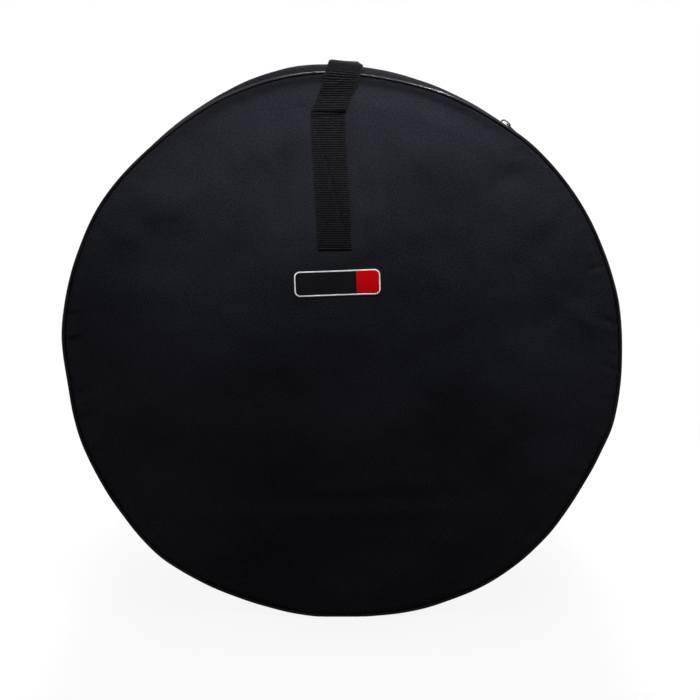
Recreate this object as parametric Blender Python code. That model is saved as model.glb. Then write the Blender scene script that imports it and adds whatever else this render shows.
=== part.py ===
"""Bass drum bag: a soft round case that stands on its rim, with a zipped lid and a webbing handle.

The axis of the bag runs along Y and its front faces -Y. Z is up, and the origin is on the floor
under the middle of the bag. Angles around the bag are clockwise from the top, seen from the front.
"""

import math

import bmesh
import bpy
from mathutils import Matrix, Vector

# Bag
RIM_RADIUS = 0.3045
BODY_DEPTH = 0.480
GUSSET_BULGE = 0.0095
BULGE_POWER = 6
PANEL_CROWN = 0.004
FACETS = 56
CROWN_BREAK_SHARE = 0.6
STATION_SHARES = (-0.72, -0.5, 0.5, 0.74, 0.9)

# Wall layers
FABRIC = 0.001
FOAM = 0.008
LINING = 0.0008
GAP = 0.0003

# Piped seams
PIPING_RADIUS = 0.003
PIPING_SIDES = 7
PIPING_FLOOR_GAP = 0.0005
FLANGE = 0.001
FLANGE_LENGTH = 0.0175
BINDING = 0.0006
BINDING_START = 0.0160
BINDING_END = 0.0205

# Zip
ZIP_SETBACK = 0.027
ZIP_RISE = 0.0025
ZIP_BAND = 0.032
ZIP_TRACK = 0.002
TAPE = 0.0008
TAPE_WIDTH = 0.014
COIL_WIDTH = 0.0028
COIL_HEIGHT = 0.0018
FABRIC_EDGE = 0.0065
ZIP_PARK_DEG = 36
ZIP_SPARE_DEG = 2.6
STOP_DEG = 0.7
TAB_DEG = 3.6
TAB_THICKNESS = 0.001

# Slider and pull
SLIDER_LENGTH = 0.016
SLIDER_WIDTH = 0.011
SLIDER_TAIL_SHARE = 0.62
SLIDER_PLATE = 0.0016
SLIDER_SOLE = 0.0012
SLIDER_RUN = 0.0004
POST_WIDTH = 0.0012
POST_LENGTH = 0.006
SLIDER_FLANGE = 0.0011
FLANGE_REACH_SHARE = 0.6
SLIDER_CROWN_LENGTH = 0.0124
SLIDER_CROWN_HEIGHT = 0.005
SLIDER_CROWN_BAR = 0.0014
SLIDER_CROWN_WIDTH = 0.002
CROWN_STEPS = 8
CROWN_ROUND = 0.6
PULL_OFFSET = 0.0018
PULL_HEIGHT = 0.0022
PULL_PIN_RADIUS = 0.0009
PULL_THICKNESS = 0.0016
PULL_ARM = 0.0011
PULL_WINDOW = 0.009
PULL_LENGTH = 0.024
PULL_TAB_WIDTH = 0.008
PULL_HOLE_RADIUS = 0.0016
PULL_HOLE_SIDES = 10
PULL_REST_DEG = 8

# Webbing and handle
STRAP_WIDTH = 0.038
STRAP_THICKNESS = 0.002
STRAP_FREE_LENGTH = 0.0398
STRAP_SEWN_LENGTH = 0.1488
STRAP_RIM_CLEARANCE = 0.0008
FRONT_STRAP_FOOT_X = -0.0065
FRONT_STRAP_HEAD_X = -0.0145
HANDLE_X = 0.0055
HANDLE_SLACK = 0.002
HANDLE_SETBACK = 0.020
HINGE_LIFT = 0.0005
CLIMB_STEPS = 4
TURN_STEPS = 8
TWIST_SHARE = 0.4
LEAN_SHARE = 0.8

# Label patch
PATCH_WIDTH = 0.098
PATCH_HEIGHT = 0.031
PATCH_THICKNESS = 0.0012
PATCH_CORNER = 0.0075
PATCH_X = -0.004
PATCH_DROP = 0.038
PATCH_TILT_DEG = 2
CORNER_STEPS = 4

LID_PIECES = (
    "front_panel",
    "front_padding",
    "front_lining",
    "front_piping",
    "front_seam_binding",
    "lid_collar",
    "lid_zip_tape",
    "lid_zip_coil",
    "front_strap",
    "front_strap_rise",
    "label_patch",
)

OVERRUN = 0.0004
SHARP_DEG = 35

# Derived places
HALF_DEPTH = BODY_DEPTH / 2
CENTRE_HEIGHT = RIM_RADIUS + PIPING_RADIUS
STEP_DEG = 360 / FACETS
ZIP_Y = ZIP_SETBACK - HALF_DEPTH
ZIP_RADIUS = RIM_RADIUS + ZIP_RISE
ZIP_START_DEG = ZIP_PARK_DEG - ZIP_SPARE_DEG
TAPE_SINK = FABRIC + GAP
FOAM_SINK = FABRIC + GAP
LINING_SINK = FOAM_SINK + FOAM + GAP
SEAM_CLEAR = PIPING_RADIUS + GAP
FLANGE_CLEAR = (FLANGE / 2 + GAP) * math.sqrt(2)
TAPE_END = ZIP_TRACK / 2 + TAPE_WIDTH
GUSSET_TOP = RIM_RADIUS + FABRIC / 2 + GUSSET_BULGE
STRAP_HEAD_HEIGHT = RIM_RADIUS - STRAP_FREE_LENGTH
STRAP_FOOT_HEIGHT = STRAP_HEAD_HEIGHT - STRAP_SEWN_LENGTH
PATCH_Z = STRAP_FOOT_HEIGHT - PATCH_DROP
STRAP_TOP_HEIGHT = GUSSET_TOP + HANDLE_SLACK + STRAP_THICKNESS / 2
HINGE_HEIGHT = CENTRE_HEIGHT + STRAP_TOP_HEIGHT + STRAP_THICKNESS / 2 + HINGE_LIFT


def material(name, colour, roughness, metallic=0.0):
    """A plain Principled material in the part's own colour."""
    made = bpy.data.materials.new(name)
    made.use_nodes = True
    shader = made.node_tree.nodes["Principled BSDF"]
    shader.inputs["Base Color"].default_value = (*colour, 1)
    shader.inputs["Roughness"].default_value = roughness
    shader.inputs["Metallic"].default_value = metallic
    return made


def empty(name, location, rotation=(0, 0, 0), parent=None):
    """A frame that carries what turns or slides with it."""
    made = bpy.data.objects.new(name, None)
    made.location = location
    made.rotation_euler = rotation
    made.parent = parent
    bpy.context.scene.collection.objects.link(made)
    return made


def add_object(name, mesh_data, finish, parent=None):
    """Closes a bmesh into a named object with outward faces and smooth shading."""
    bmesh.ops.recalc_face_normals(mesh_data, faces=mesh_data.faces)
    mesh = bpy.data.meshes.new(name)
    mesh_data.to_mesh(mesh)
    mesh_data.free()
    mesh.shade_smooth()
    mesh.set_sharp_from_angle(angle=math.radians(SHARP_DEG))
    mesh.materials.append(finish)
    made = bpy.data.objects.new(name, mesh)
    made.parent = parent
    bpy.context.scene.collection.objects.link(made)
    return made


def clear_scene():
    for old in list(bpy.data.objects):
        bpy.data.objects.remove(old, do_unlink=True)


# Shape of the bag


def lerp(a, b, share):
    return a + (b - a) * share


def smooth(share):
    share = min(max(share, 0), 1)
    return share * share * (3 - 2 * share)


def crowned_radius(y):
    """Outer radius of the gusset before it is drawn in along the zip."""
    return RIM_RADIUS + FABRIC / 2 + GUSSET_BULGE * (1 - abs(y / HALF_DEPTH) ** BULGE_POWER)


def stations():
    """Places along Y where the gusset's outline turns, each with its outer radius."""
    places = [(share * HALF_DEPTH, crowned_radius(share * HALF_DEPTH)) for share in (-1, *STATION_SHARES, 1)]
    places += [(ZIP_Y - ZIP_BAND / 2, ZIP_RADIUS), (ZIP_Y + ZIP_BAND / 2, ZIP_RADIUS)]
    return sorted(places)


def outer_radius(y):
    """Outer radius of the bag's wall at y, straight between stations."""
    places = stations()
    for (y0, r0), (y1, r1) in zip(places, places[1:]):
        if y <= y1:
            return lerp(r0, r1, (y - y0) / (y1 - y0))
    return places[-1][1]


def crown_at(radius):
    """How far a panel swells out past its edge at this radius, straight between its rings."""
    break_radius = CROWN_BREAK_SHARE * RIM_RADIUS
    break_crown = PANEL_CROWN * (1 - CROWN_BREAK_SHARE**2)
    if radius < break_radius:
        return lerp(PANEL_CROWN, break_crown, radius / break_radius)
    return lerp(break_crown, 0, (radius - break_radius) / (RIM_RADIUS - break_radius))


def face_y(side, radius, sink=0):
    """Y of a panel's outer face, or of a layer that lies sink behind it. Side is -1 in front."""
    return side * (HALF_DEPTH + FABRIC / 2 + crown_at(radius) - sink)


def around(angle_deg, radius, y, sink):
    """A point of a turned profile, on the facet there and never lower than the floor plus sink."""
    off_middle = (angle_deg + STEP_DEG / 2) % STEP_DEG - STEP_DEG / 2
    radius = radius * math.cos(math.radians(STEP_DEG / 2)) / math.cos(math.radians(off_middle))
    from_bottom = math.radians(angle_deg - 180)
    if math.cos(from_bottom) > 0:
        radius = min(radius, (CENTRE_HEIGHT - sink) / math.cos(from_bottom))
    angle = math.radians(angle_deg)
    return Vector((radius * math.sin(angle), y, CENTRE_HEIGHT + radius * math.cos(angle)))


# Builders


def turned(name, profile, finish, start_deg=None, end_deg=None):
    """A ring, or an arc with closed ends, whose profile is a loop of (y, radius, sink).

    Every facet is split from its front corner to the next angle's rear one, so that nested layers
    stay parallel where the floor presses them flat.
    """
    whole = start_deg is None
    corners = [STEP_DEG * (k + 0.5) for k in range(-FACETS, FACETS)]
    if whole:
        angles = corners[FACETS:]
    else:
        angles = [start_deg, *(a for a in corners if start_deg < a < end_deg), end_deg]
    data = bmesh.new()
    loops = [[data.verts.new(around(a, r, y, sink)) for y, r, sink in profile] for a in angles]
    pairs = list(zip(loops, loops[1:]))
    if whole:
        pairs.append((loops[-1], loops[0]))
    else:
        data.faces.new(loops[0])
        data.faces.new(loops[-1])
    for near, far in pairs:
        for k in range(len(profile)):
            after = (k + 1) % len(profile)
            if profile[k][0] <= profile[after][0]:
                data.faces.new((near[k], near[after], far[after]))
                data.faces.new((near[k], far[after], far[k]))
            else:
                data.faces.new((near[k], near[after], far[k]))
                data.faces.new((near[after], far[after], far[k]))
    return add_object(name, data, finish)


def band(y0, y1, sink0, sink1):
    """Profile of a wall layer from y0 to y1 between two depths below the bag's outer surface."""
    middle = [y for y, _ in stations() if y0 < y < y1]
    places = [y0, *middle, y1]
    outside = [(y, outer_radius(y) - sink0, sink0) for y in places]
    inside = [(y, outer_radius(y) - sink1, sink1) for y in reversed(places)]
    return outside + inside


def disc(name, side, sink0, sink1, edge0, edge1, finish):
    """One layer of a round panel, from depth sink0 to sink1, with its own radius on each face."""
    break_radius = CROWN_BREAK_SHARE * RIM_RADIUS
    data = bmesh.new()
    edges = []
    for sink, edge in ((sink0, edge0), (sink1, edge1)):
        centre = data.verts.new((0, face_y(side, 0, sink), CENTRE_HEIGHT))
        rings = []
        for radius in (break_radius, edge):
            angles = [STEP_DEG * (k + 0.5) for k in range(FACETS)]
            rings.append([data.verts.new(around(a, radius, face_y(side, radius, sink), 0)) for a in angles])
        for k in range(FACETS):
            after = (k + 1) % FACETS
            data.faces.new((centre, rings[0][k], rings[0][after]))
            data.faces.new((rings[0][k], rings[1][k], rings[1][after], rings[0][after]))
        edges.append(rings[1])
    for k in range(FACETS):
        after = (k + 1) % FACETS
        data.faces.new((edges[0][k], edges[1][k], edges[1][after], edges[0][after]))
    return add_object(name, data, finish)


def prism(name, outline, low, high, place, finish, parent=None):
    """A plane outline carried from low to high; place(a, b, level) gives each corner's point."""
    data = bmesh.new()
    near = [data.verts.new(place(a, b, low)) for a, b in outline]
    far = [data.verts.new(place(a, b, high)) for a, b in outline]
    data.faces.new(near)
    data.faces.new(far)
    for k in range(len(outline)):
        after = (k + 1) % len(outline)
        data.faces.new((near[k], near[after], far[after], far[k]))
    return add_object(name, data, finish, parent)


def combine(base, others, operation):
    """Joins the others to the base, or cuts them out of it, and keeps only the base."""
    for other in others:
        modifier = base.modifiers.new(operation.title(), "BOOLEAN")
        modifier.operation = operation
        modifier.solver = "EXACT"
        modifier.object = other
    bpy.context.view_layer.update()
    evaluated = base.evaluated_get(bpy.context.evaluated_depsgraph_get())
    result = bpy.data.meshes.new_from_object(evaluated)
    base.modifiers.clear()
    base.data = result
    for other in others:
        bpy.data.objects.remove(other, do_unlink=True)
    return base


def flat(a, b, level):
    """Outline in X and Y, thickness along Z."""
    return (a, b, level)


def upright(a, b, level):
    """Outline in X and Z, thickness along Y."""
    return (a, level, b)


def rounded_rectangle(width, height, corner):
    """Outline centred on zero, its corners turned in arcs."""
    points = []
    for quarter in range(4):
        turn = math.radians(90 * quarter)
        across = (width if quarter in (0, 3) else -width) / 2
        up = (height if quarter in (0, 1) else -height) / 2
        centre_x = across - math.copysign(corner, across)
        centre_y = up - math.copysign(corner, up)
        for k in range(CORNER_STEPS + 1):
            angle = turn + math.radians(90) * k / CORNER_STEPS
            points.append((centre_x + corner * math.cos(angle), centre_y + corner * math.sin(angle)))
    return points


def ribbon(name, centres, across, normals, finish, parent=None):
    """Flat webbing along a line of centres, with its width direction and normal at each."""
    data = bmesh.new()
    loops = []
    for centre, wide, normal in zip(centres, across, normals):
        side = wide.normalized() * STRAP_WIDTH / 2
        up = normal.normalized() * STRAP_THICKNESS / 2
        corners = (centre - side - up, centre + side - up, centre + side + up, centre - side + up)
        loops.append([data.verts.new(corner) for corner in corners])
    data.faces.new(loops[0])
    data.faces.new(loops[-1])
    for near, far in zip(loops, loops[1:]):
        for k in range(len(near)):
            after = (k + 1) % len(near)
            data.faces.new((near[k], near[after], far[after], far[k]))
    return add_object(name, data, finish, parent)


# Round panels


def round_panel(word, side, fabric, foam, lining):
    """Outer fabric, foam and lining of the front or rear face."""
    edge = RIM_RADIUS - SEAM_CLEAR
    foam_edge = RIM_RADIUS - (FABRIC / 2 + GAP + FOAM) - FLANGE_CLEAR
    lining_edge = foam_edge - LINING - GAP
    disc(f"{word}_panel", side, 0, FABRIC, edge, edge, fabric)
    disc(f"{word}_padding", side, FOAM_SINK, FOAM_SINK + FOAM, edge, foam_edge, foam)
    disc(f"{word}_lining", side, LINING_SINK, LINING_SINK + LINING, lining_edge, lining_edge, lining)


# Piped seams


def seam_point(side, along, off):
    """A profile point on the seam's 45 degree line into the bag: along it, and off it towards the wall."""
    inward = (along + off) / math.sqrt(2)
    drop = (along - off) / math.sqrt(2)
    return (side * (HALF_DEPTH - inward), RIM_RADIUS - drop, PIPING_RADIUS + PIPING_FLOOR_GAP + drop)


def piping(name, side, finish):
    """Corded piping: a round bead on the corner and the flange that is sewn into the seam."""
    half = FLANGE / 2
    first = math.asin(half / PIPING_RADIUS)
    turn = (2 * math.pi - 2 * first) / PIPING_SIDES
    profile = []
    for k in range(PIPING_SIDES + 1):
        angle = first + turn * k
        profile.append(seam_point(side, PIPING_RADIUS * math.cos(angle), PIPING_RADIUS * math.sin(angle)))
    profile.append(seam_point(side, FLANGE_LENGTH, -half))
    profile.append(seam_point(side, FLANGE_LENGTH, half))
    return turned(name, profile, finish)


def seam_binding(name, side, finish):
    """Tape folded over the raw edge of the seam inside the bag."""
    inner = FLANGE / 2 + GAP
    outer = inner + BINDING
    end = FLANGE_LENGTH + GAP
    corners = [(BINDING_START, outer), (BINDING_END, outer), (BINDING_END, -outer), (BINDING_START, -outer)]
    corners += [(BINDING_START, -inner), (end, -inner), (end, inner), (BINDING_START, inner)]
    return turned(name, [seam_point(side, along, off) for along, off in corners], finish)


# Gusset


def gusset(fabric, foam, lining):
    """The wall behind the zip, its foam, and the lining that turns up over the foam's front edge."""
    rear = HALF_DEPTH - SEAM_CLEAR
    foam_rear = HALF_DEPTH - (FABRIC / 2 + GAP + FOAM) - FLANGE_CLEAR
    lining_start = ZIP_Y + TAPE_END + GAP
    turned("gusset_fabric", band(ZIP_Y + FABRIC_EDGE, rear, 0, FABRIC), fabric)
    foam_start = lining_start + LINING + GAP
    outside = band(foam_start, rear, FOAM_SINK, FOAM_SINK + FOAM)
    inside = band(foam_start, foam_rear, FOAM_SINK, FOAM_SINK + FOAM)
    turned("gusset_padding", outside[: len(outside) // 2] + inside[len(inside) // 2 :], foam)
    rest = band(lining_start, foam_rear - LINING - GAP, LINING_SINK, LINING_SINK + LINING)
    step = lining_start + LINING
    lip = [(lining_start, outer_radius(lining_start) - FOAM_SINK, FOAM_SINK)]
    lip.append((step, outer_radius(step) - FOAM_SINK, FOAM_SINK))
    lip.append((step, outer_radius(step) - LINING_SINK, LINING_SINK))
    turned("gusset_lining", lip + rest[1:], lining)


def lid_collar(fabric):
    """The strip of wall between the front piping and the zip."""
    turned("lid_collar", band(SEAM_CLEAR - HALF_DEPTH, ZIP_Y - FABRIC_EDGE, 0, FABRIC), fabric)


# Zip


def zip_chain(word, side, tape, coil):
    """One half of the zip: its tape under the edge of the fabric, and the coil on the tape."""
    near = ZIP_TRACK / 2
    reach = {"tape": near + TAPE_WIDTH, "coil": near + COIL_WIDTH}
    ends = {key: sorted((ZIP_Y + side * near, ZIP_Y + side * far)) for key, far in reach.items()}
    profile = band(*ends["tape"], TAPE_SINK, TAPE_SINK + TAPE)
    turned(f"{word}_zip_tape", profile, tape, ZIP_START_DEG, 360 - ZIP_START_DEG)
    top = TAPE_SINK - GAP - COIL_HEIGHT
    profile = band(*ends["coil"], top, TAPE_SINK - GAP)
    first = ZIP_START_DEG + STOP_DEG + math.degrees(GAP / ZIP_RADIUS)
    turned(f"{word}_zip_coil", profile, coil, first, 360 - first)


def zip_ends(fabric, metal):
    """Stops at both ends of the coil, the panel that the lid hangs by, and a tab over each end."""
    near = ZIP_Y + ZIP_TRACK / 2
    stop = band(near, near + COIL_WIDTH, TAPE_SINK - GAP - COIL_HEIGHT, TAPE_SINK - GAP)
    turned("zip_stop_right", stop, metal, ZIP_START_DEG, ZIP_START_DEG + STOP_DEG)
    turned("zip_stop_left", stop, metal, -ZIP_START_DEG - STOP_DEG, -ZIP_START_DEG)
    half = FABRIC_EDGE - GAP
    edge = ZIP_START_DEG - math.degrees(GAP / ZIP_RADIUS)
    turned("hinge_panel", band(ZIP_Y - half, ZIP_Y + half, 0, FABRIC), fabric, -edge, edge)
    tab = band(ZIP_Y - half, ZIP_Y + half, -GAP - TAB_THICKNESS, -GAP)
    turned("zip_end_tab_right", tab, fabric, edge - TAB_DEG, edge)
    turned("zip_end_tab_left", tab, fabric, -edge, TAB_DEG - edge)


def arch(length, height, base):
    """Half of a superellipse standing on base, from its left foot to its right one."""
    points = []
    for k in range(CROWN_STEPS + 1):
        angle = math.pi * (1 - k / CROWN_STEPS)
        out = math.copysign(abs(math.cos(angle)) ** CROWN_ROUND, math.cos(angle))
        up = max(math.sin(angle), 0) ** CROWN_ROUND
        points.append((length / 2 * out, base + height * up))
    return points


def zip_slider(metal, parent):
    """Slider on the two coils: plates, the post between the coils, a flange and the pull's arch."""
    coil_top = ZIP_RADIUS - TAPE_SINK + GAP + COIL_HEIGHT
    facet_drop = ZIP_RADIUS * (1 - math.cos(math.radians(STEP_DEG / 2)))
    plate_low = coil_top + SLIDER_RUN
    plate_high = plate_low + SLIDER_PLATE
    end_rise = (SLIDER_LENGTH / 2) ** 2 / (2 * ZIP_RADIUS)
    sole_high = ZIP_RADIUS - TAPE_SINK - TAPE - facet_drop - end_rise - SLIDER_RUN
    sole_low = sole_high - SLIDER_SOLE
    half, wide = SLIDER_LENGTH / 2, SLIDER_WIDTH / 2
    tail = wide * SLIDER_TAIL_SHARE
    shield = [(-half, wide), (-half * SLIDER_TAIL_SHARE, wide), (half, tail)]
    shield += [(half, -tail), (-half * SLIDER_TAIL_SHARE, -wide), (-half, -wide)]
    plate = prism("zip_slider", shield, plate_low, plate_high, flat, metal, parent)
    sole = prism("sole", shield, sole_low, sole_high, flat, metal, parent)
    diamond = [(-POST_LENGTH / 2, 0), (0, POST_WIDTH / 2), (POST_LENGTH / 2, 0), (0, -POST_WIDTH / 2)]
    post = prism("post", diamond, sole_low + OVERRUN, plate_high - OVERRUN, flat, metal, parent)
    inner = ZIP_TRACK / 2 + COIL_WIDTH + SLIDER_RUN
    reach = half * FLANGE_REACH_SHARE
    rail = [(-half, inner), (reach, inner), (reach, inner + SLIDER_FLANGE), (-half, inner + SLIDER_FLANGE)]
    flange_low = ZIP_RADIUS - TAPE_SINK + SLIDER_RUN
    flange = prism("flange", rail, flange_low, plate_high - OVERRUN, flat, metal, parent)
    foot = plate_high - OVERRUN
    outside = arch(SLIDER_CROWN_LENGTH, SLIDER_CROWN_HEIGHT + OVERRUN, foot)
    inside_length = SLIDER_CROWN_LENGTH - 2 * SLIDER_CROWN_BAR
    inside = arch(inside_length, SLIDER_CROWN_HEIGHT + OVERRUN - SLIDER_CROWN_BAR, foot)
    outline = outside + inside[::-1]
    crown_half = SLIDER_CROWN_WIDTH / 2
    crown = prism("crown", outline, -crown_half, crown_half, upright, metal, parent)
    combine(plate, [sole, post, flange, crown], "UNION")
    return plate_high


def zip_pull(metal, parent):
    """Pull tab: a pin through the slider's arch, two arms beside it and a tab with a hole."""
    arm_inner = SLIDER_CROWN_WIDTH / 2 + GAP
    arm_outer = arm_inner + PULL_ARM
    half = PULL_THICKNESS / 2
    back = -PULL_PIN_RADIUS
    tab = PULL_TAB_WIDTH / 2
    shape = [(back, -arm_outer), (PULL_WINDOW, -arm_outer), (PULL_WINDOW + PULL_ARM, -tab)]
    shape += [(PULL_LENGTH - tab / 2, -tab), (PULL_LENGTH, -tab / 2), (PULL_LENGTH, tab / 2)]
    shape += [(PULL_LENGTH - tab / 2, tab), (PULL_WINDOW + PULL_ARM, tab)]
    shape += [(PULL_WINDOW, arm_outer), (back, arm_outer)]
    body = prism("zip_pull", shape, -half, half, flat, metal, parent)
    window = [(PULL_PIN_RADIUS, -arm_inner), (PULL_WINDOW, -arm_inner)]
    window += [(PULL_WINDOW, arm_inner), (PULL_PIN_RADIUS, arm_inner)]
    opening = prism("window", window, -half - OVERRUN, half + OVERRUN, flat, metal, parent)
    middle = (PULL_WINDOW + PULL_ARM + PULL_LENGTH) / 2
    turns = [2 * math.pi * k / PULL_HOLE_SIDES for k in range(PULL_HOLE_SIDES)]
    circle = [(middle + PULL_HOLE_RADIUS * math.cos(t), PULL_HOLE_RADIUS * math.sin(t)) for t in turns]
    hole = prism("hole", circle, -half - OVERRUN, half + OVERRUN, flat, metal, parent)
    combine(body, [opening, hole], "DIFFERENCE")


# Webbing


def sewn_strap(name, side, foot_x, head_x, finish):
    """The stretch of webbing that is sewn to a panel, following its swell."""
    places = []
    for height in (STRAP_FOOT_HEIGHT, CROWN_BREAK_SHARE * RIM_RADIUS, STRAP_HEAD_HEIGHT):
        share = (height - STRAP_FOOT_HEIGHT) / (STRAP_HEAD_HEIGHT - STRAP_FOOT_HEIGHT)
        y = face_y(side, height, -GAP - STRAP_THICKNESS / 2)
        places.append(Vector((lerp(foot_x, head_x, share), y, CENTRE_HEIGHT + height)))
    along = places[-1] - places[0]
    normal = Vector((0, side, 0))
    across = Vector((along.z, 0, -along.x))
    ribbon(name, places, [across] * len(places), [normal] * len(places), finish)
    return along.normalized(), across.normalized()


def strap_rise(name, side, head_x, lean, start_across, end_y, finish):
    """Loose webbing from the head of a sewn strap, over the piped rim, to end_y on top."""
    head = Vector((head_x, face_y(side, STRAP_HEAD_HEIGHT, -GAP - STRAP_THICKNESS / 2), 0))
    head.z = CENTRE_HEIGHT + STRAP_HEAD_HEIGHT
    head += lean * GAP
    front = side * (HALF_DEPTH + SEAM_CLEAR + STRAP_RIM_CLEARANCE + STRAP_THICKNESS / 2)
    over = side * (HALF_DEPTH - ZIP_SETBACK)
    shoulder = CENTRE_HEIGHT + RIM_RADIUS
    top = CENTRE_HEIGHT + STRAP_TOP_HEIGHT
    places = []
    for k in range(CLIMB_STEPS):
        places.append((lerp(head.y, front, k / CLIMB_STEPS), lerp(head.z, shoulder, k / CLIMB_STEPS)))
    for k in range(TURN_STEPS):
        angle = math.radians(90) * k / TURN_STEPS
        places.append((lerp(front, over, 1 - math.cos(angle)), lerp(shoulder, top, math.sin(angle))))
    if abs(over - end_y) > GAP:
        places.append((over, top))
    places.append((end_y, top))
    lengths = [0]
    for (y0, z0), (y1, z1) in zip(places, places[1:]):
        lengths.append(lengths[-1] + math.hypot(y1 - y0, z1 - z0))
    whole = lengths[CLIMB_STEPS + TURN_STEPS]
    centres = []
    for (y, z), length in zip(places, lengths):
        share = min(length / (whole * LEAN_SHARE), 1)
        centres.append(Vector((lerp(head.x, HANDLE_X, math.sin(math.radians(90) * share)), y, z)))
    across, normals = [], []
    for k, length in enumerate(lengths):
        ahead = centres[min(k + 1, len(centres) - 1)] - centres[max(k - 1, 0)]
        normal = side * Vector((0, ahead.z, -ahead.y)).normalized()
        wide = side * normal.cross(ahead.normalized())
        across.append(start_across.lerp(wide, smooth(length / (whole * TWIST_SHARE))))
        normals.append(normal)
    normals[0] = Vector((0, side, 0))
    across[-1] = Vector((1, 0, 0))
    normals[-1] = Vector((0, 0, 1))
    ribbon(name, centres, across, normals, finish)


def handle_piece(name, y0, y1, finish, parent=None):
    """A level stretch of the handle on top of the bag."""
    drop = parent.location if parent else Vector((0, 0, 0))
    height = CENTRE_HEIGHT + STRAP_TOP_HEIGHT
    centres = [Vector((HANDLE_X, y, height)) - drop for y in (y0, y1)]
    ribbon(name, centres, [Vector((1, 0, 0))] * 2, [Vector((0, 0, 1))] * 2, finish, parent)


def webbing(finish):
    """The whole strap, sewn on in front and behind, and loose over the top as the handle."""
    front_lean, front_across = sewn_strap("front_strap", -1, FRONT_STRAP_FOOT_X, FRONT_STRAP_HEAD_X, finish)
    strap_rise("front_strap_rise", -1, FRONT_STRAP_HEAD_X, front_lean, front_across, ZIP_Y - GAP / 2, finish)
    rear_lean, rear_across = sewn_strap("rear_strap", 1, HANDLE_X, HANDLE_X, finish)
    front_end = ZIP_Y + HANDLE_SETBACK
    rear_end = -front_end
    strap_rise("rear_strap_rise", 1, HANDLE_X, rear_lean, rear_across, rear_end + GAP / 2, finish)
    handle_piece("handle_front_end", ZIP_Y + GAP / 2, front_end - GAP / 2, finish)
    grip = empty("handle_frame", (HANDLE_X, 0, CENTRE_HEIGHT + STRAP_TOP_HEIGHT))
    handle_piece("handle_span", front_end + GAP / 2, rear_end - GAP / 2, finish, grip)


# Label


def label_patch(finish):
    """Bare patch sewn on under the front strap, a little askew."""
    nearest = max(PATCH_Z - PATCH_HEIGHT / 2, 0)
    back = face_y(-1, nearest) - GAP
    outline = rounded_rectangle(PATCH_WIDTH, PATCH_HEIGHT, PATCH_CORNER)
    patch = prism("label_patch", outline, -PATCH_THICKNESS, 0, upright, finish)
    patch.location = (PATCH_X, back, CENTRE_HEIGHT + PATCH_Z)
    patch.rotation_euler = (0, math.radians(-PATCH_TILT_DEG), 0)


# Lid


def hang_lid():
    """Hangs every piece of the lid on the line that it swings about, in the place where it stands."""
    hinge = empty("lid_hinge_line", (0, ZIP_Y, HINGE_HEIGHT))
    for name in LID_PIECES:
        piece = bpy.data.objects[name]
        piece.parent = hinge
        piece.matrix_parent_inverse = Matrix.Translation(-hinge.location)


def build():
    clear_scene()
    fabric = material("outer_fabric", (0.012, 0.013, 0.016), 0.72)
    foam = material("foam", (0.09, 0.09, 0.095), 0.9)
    lining = material("lining", (0.02, 0.021, 0.024), 0.6)
    vinyl = material("piping_vinyl", (0.008, 0.008, 0.009), 0.28)
    tape = material("zip_tape", (0.010, 0.010, 0.011), 0.75)
    nylon = material("zip_coil", (0.012, 0.012, 0.013), 0.35)
    metal = material("black_metal", (0.03, 0.03, 0.032), 0.35, 0.9)
    strap = material("webbing", (0.011, 0.011, 0.012), 0.6)
    patch = material("patch", (0.02, 0.02, 0.025), 0.5)

    round_panel("front", -1, fabric, foam, lining)
    round_panel("rear", 1, fabric, foam, lining)
    piping("front_piping", -1, vinyl)
    piping("rear_piping", 1, vinyl)
    seam_binding("front_seam_binding", -1, tape)
    seam_binding("rear_seam_binding", 1, tape)
    gusset(fabric, foam, lining)
    lid_collar(fabric)
    zip_chain("lid", -1, tape, nylon)
    zip_chain("body", 1, tape, nylon)
    zip_ends(fabric, metal)
    track = empty("zip_track", (0, ZIP_Y, CENTRE_HEIGHT), (0, math.radians(ZIP_PARK_DEG), 0))
    plate_top = zip_slider(metal, track)
    pin = (PULL_OFFSET, 0, plate_top + PULL_HEIGHT)
    pull_frame = empty("pull_pin", pin, (0, math.radians(PULL_REST_DEG), 0), track)
    zip_pull(metal, pull_frame)
    webbing(strap)
    label_patch(patch)
    hang_lid()


build()
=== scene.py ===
import math

import bmesh
import bpy
import numpy as np
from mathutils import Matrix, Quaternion, Vector, noise
from mathutils.bvhtree import BVHTree


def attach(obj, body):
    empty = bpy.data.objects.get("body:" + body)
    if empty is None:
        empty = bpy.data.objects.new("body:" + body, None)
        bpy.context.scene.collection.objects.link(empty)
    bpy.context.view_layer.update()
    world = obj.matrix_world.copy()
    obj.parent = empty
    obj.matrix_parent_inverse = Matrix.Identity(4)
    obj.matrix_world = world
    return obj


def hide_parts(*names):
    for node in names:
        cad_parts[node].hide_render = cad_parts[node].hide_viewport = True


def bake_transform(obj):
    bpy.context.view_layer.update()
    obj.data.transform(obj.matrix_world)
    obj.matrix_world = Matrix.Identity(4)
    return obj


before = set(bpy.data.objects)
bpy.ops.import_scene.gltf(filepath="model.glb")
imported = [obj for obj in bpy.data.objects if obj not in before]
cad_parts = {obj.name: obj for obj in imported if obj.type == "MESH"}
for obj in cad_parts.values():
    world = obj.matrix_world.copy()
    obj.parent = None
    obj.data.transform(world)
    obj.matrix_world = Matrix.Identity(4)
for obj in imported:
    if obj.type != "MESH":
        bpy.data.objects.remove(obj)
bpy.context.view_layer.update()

# The bag's own sizes, in metres, as in the CAD model
RIM = 0.3045
HALF = 0.240
CENTRE = 0.3075
TOP = CENTRE + 0.3175
FABRIC = 0.001
WALL_Y = (-0.240, -0.229, -0.197, -0.1728, -0.12, 0.12, 0.1776, 0.216, 0.240)
WALL_R = (0.305, 0.307, 0.307, 0.3132, 0.3144, 0.3144, 0.3129, 0.3095, 0.305)
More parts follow.
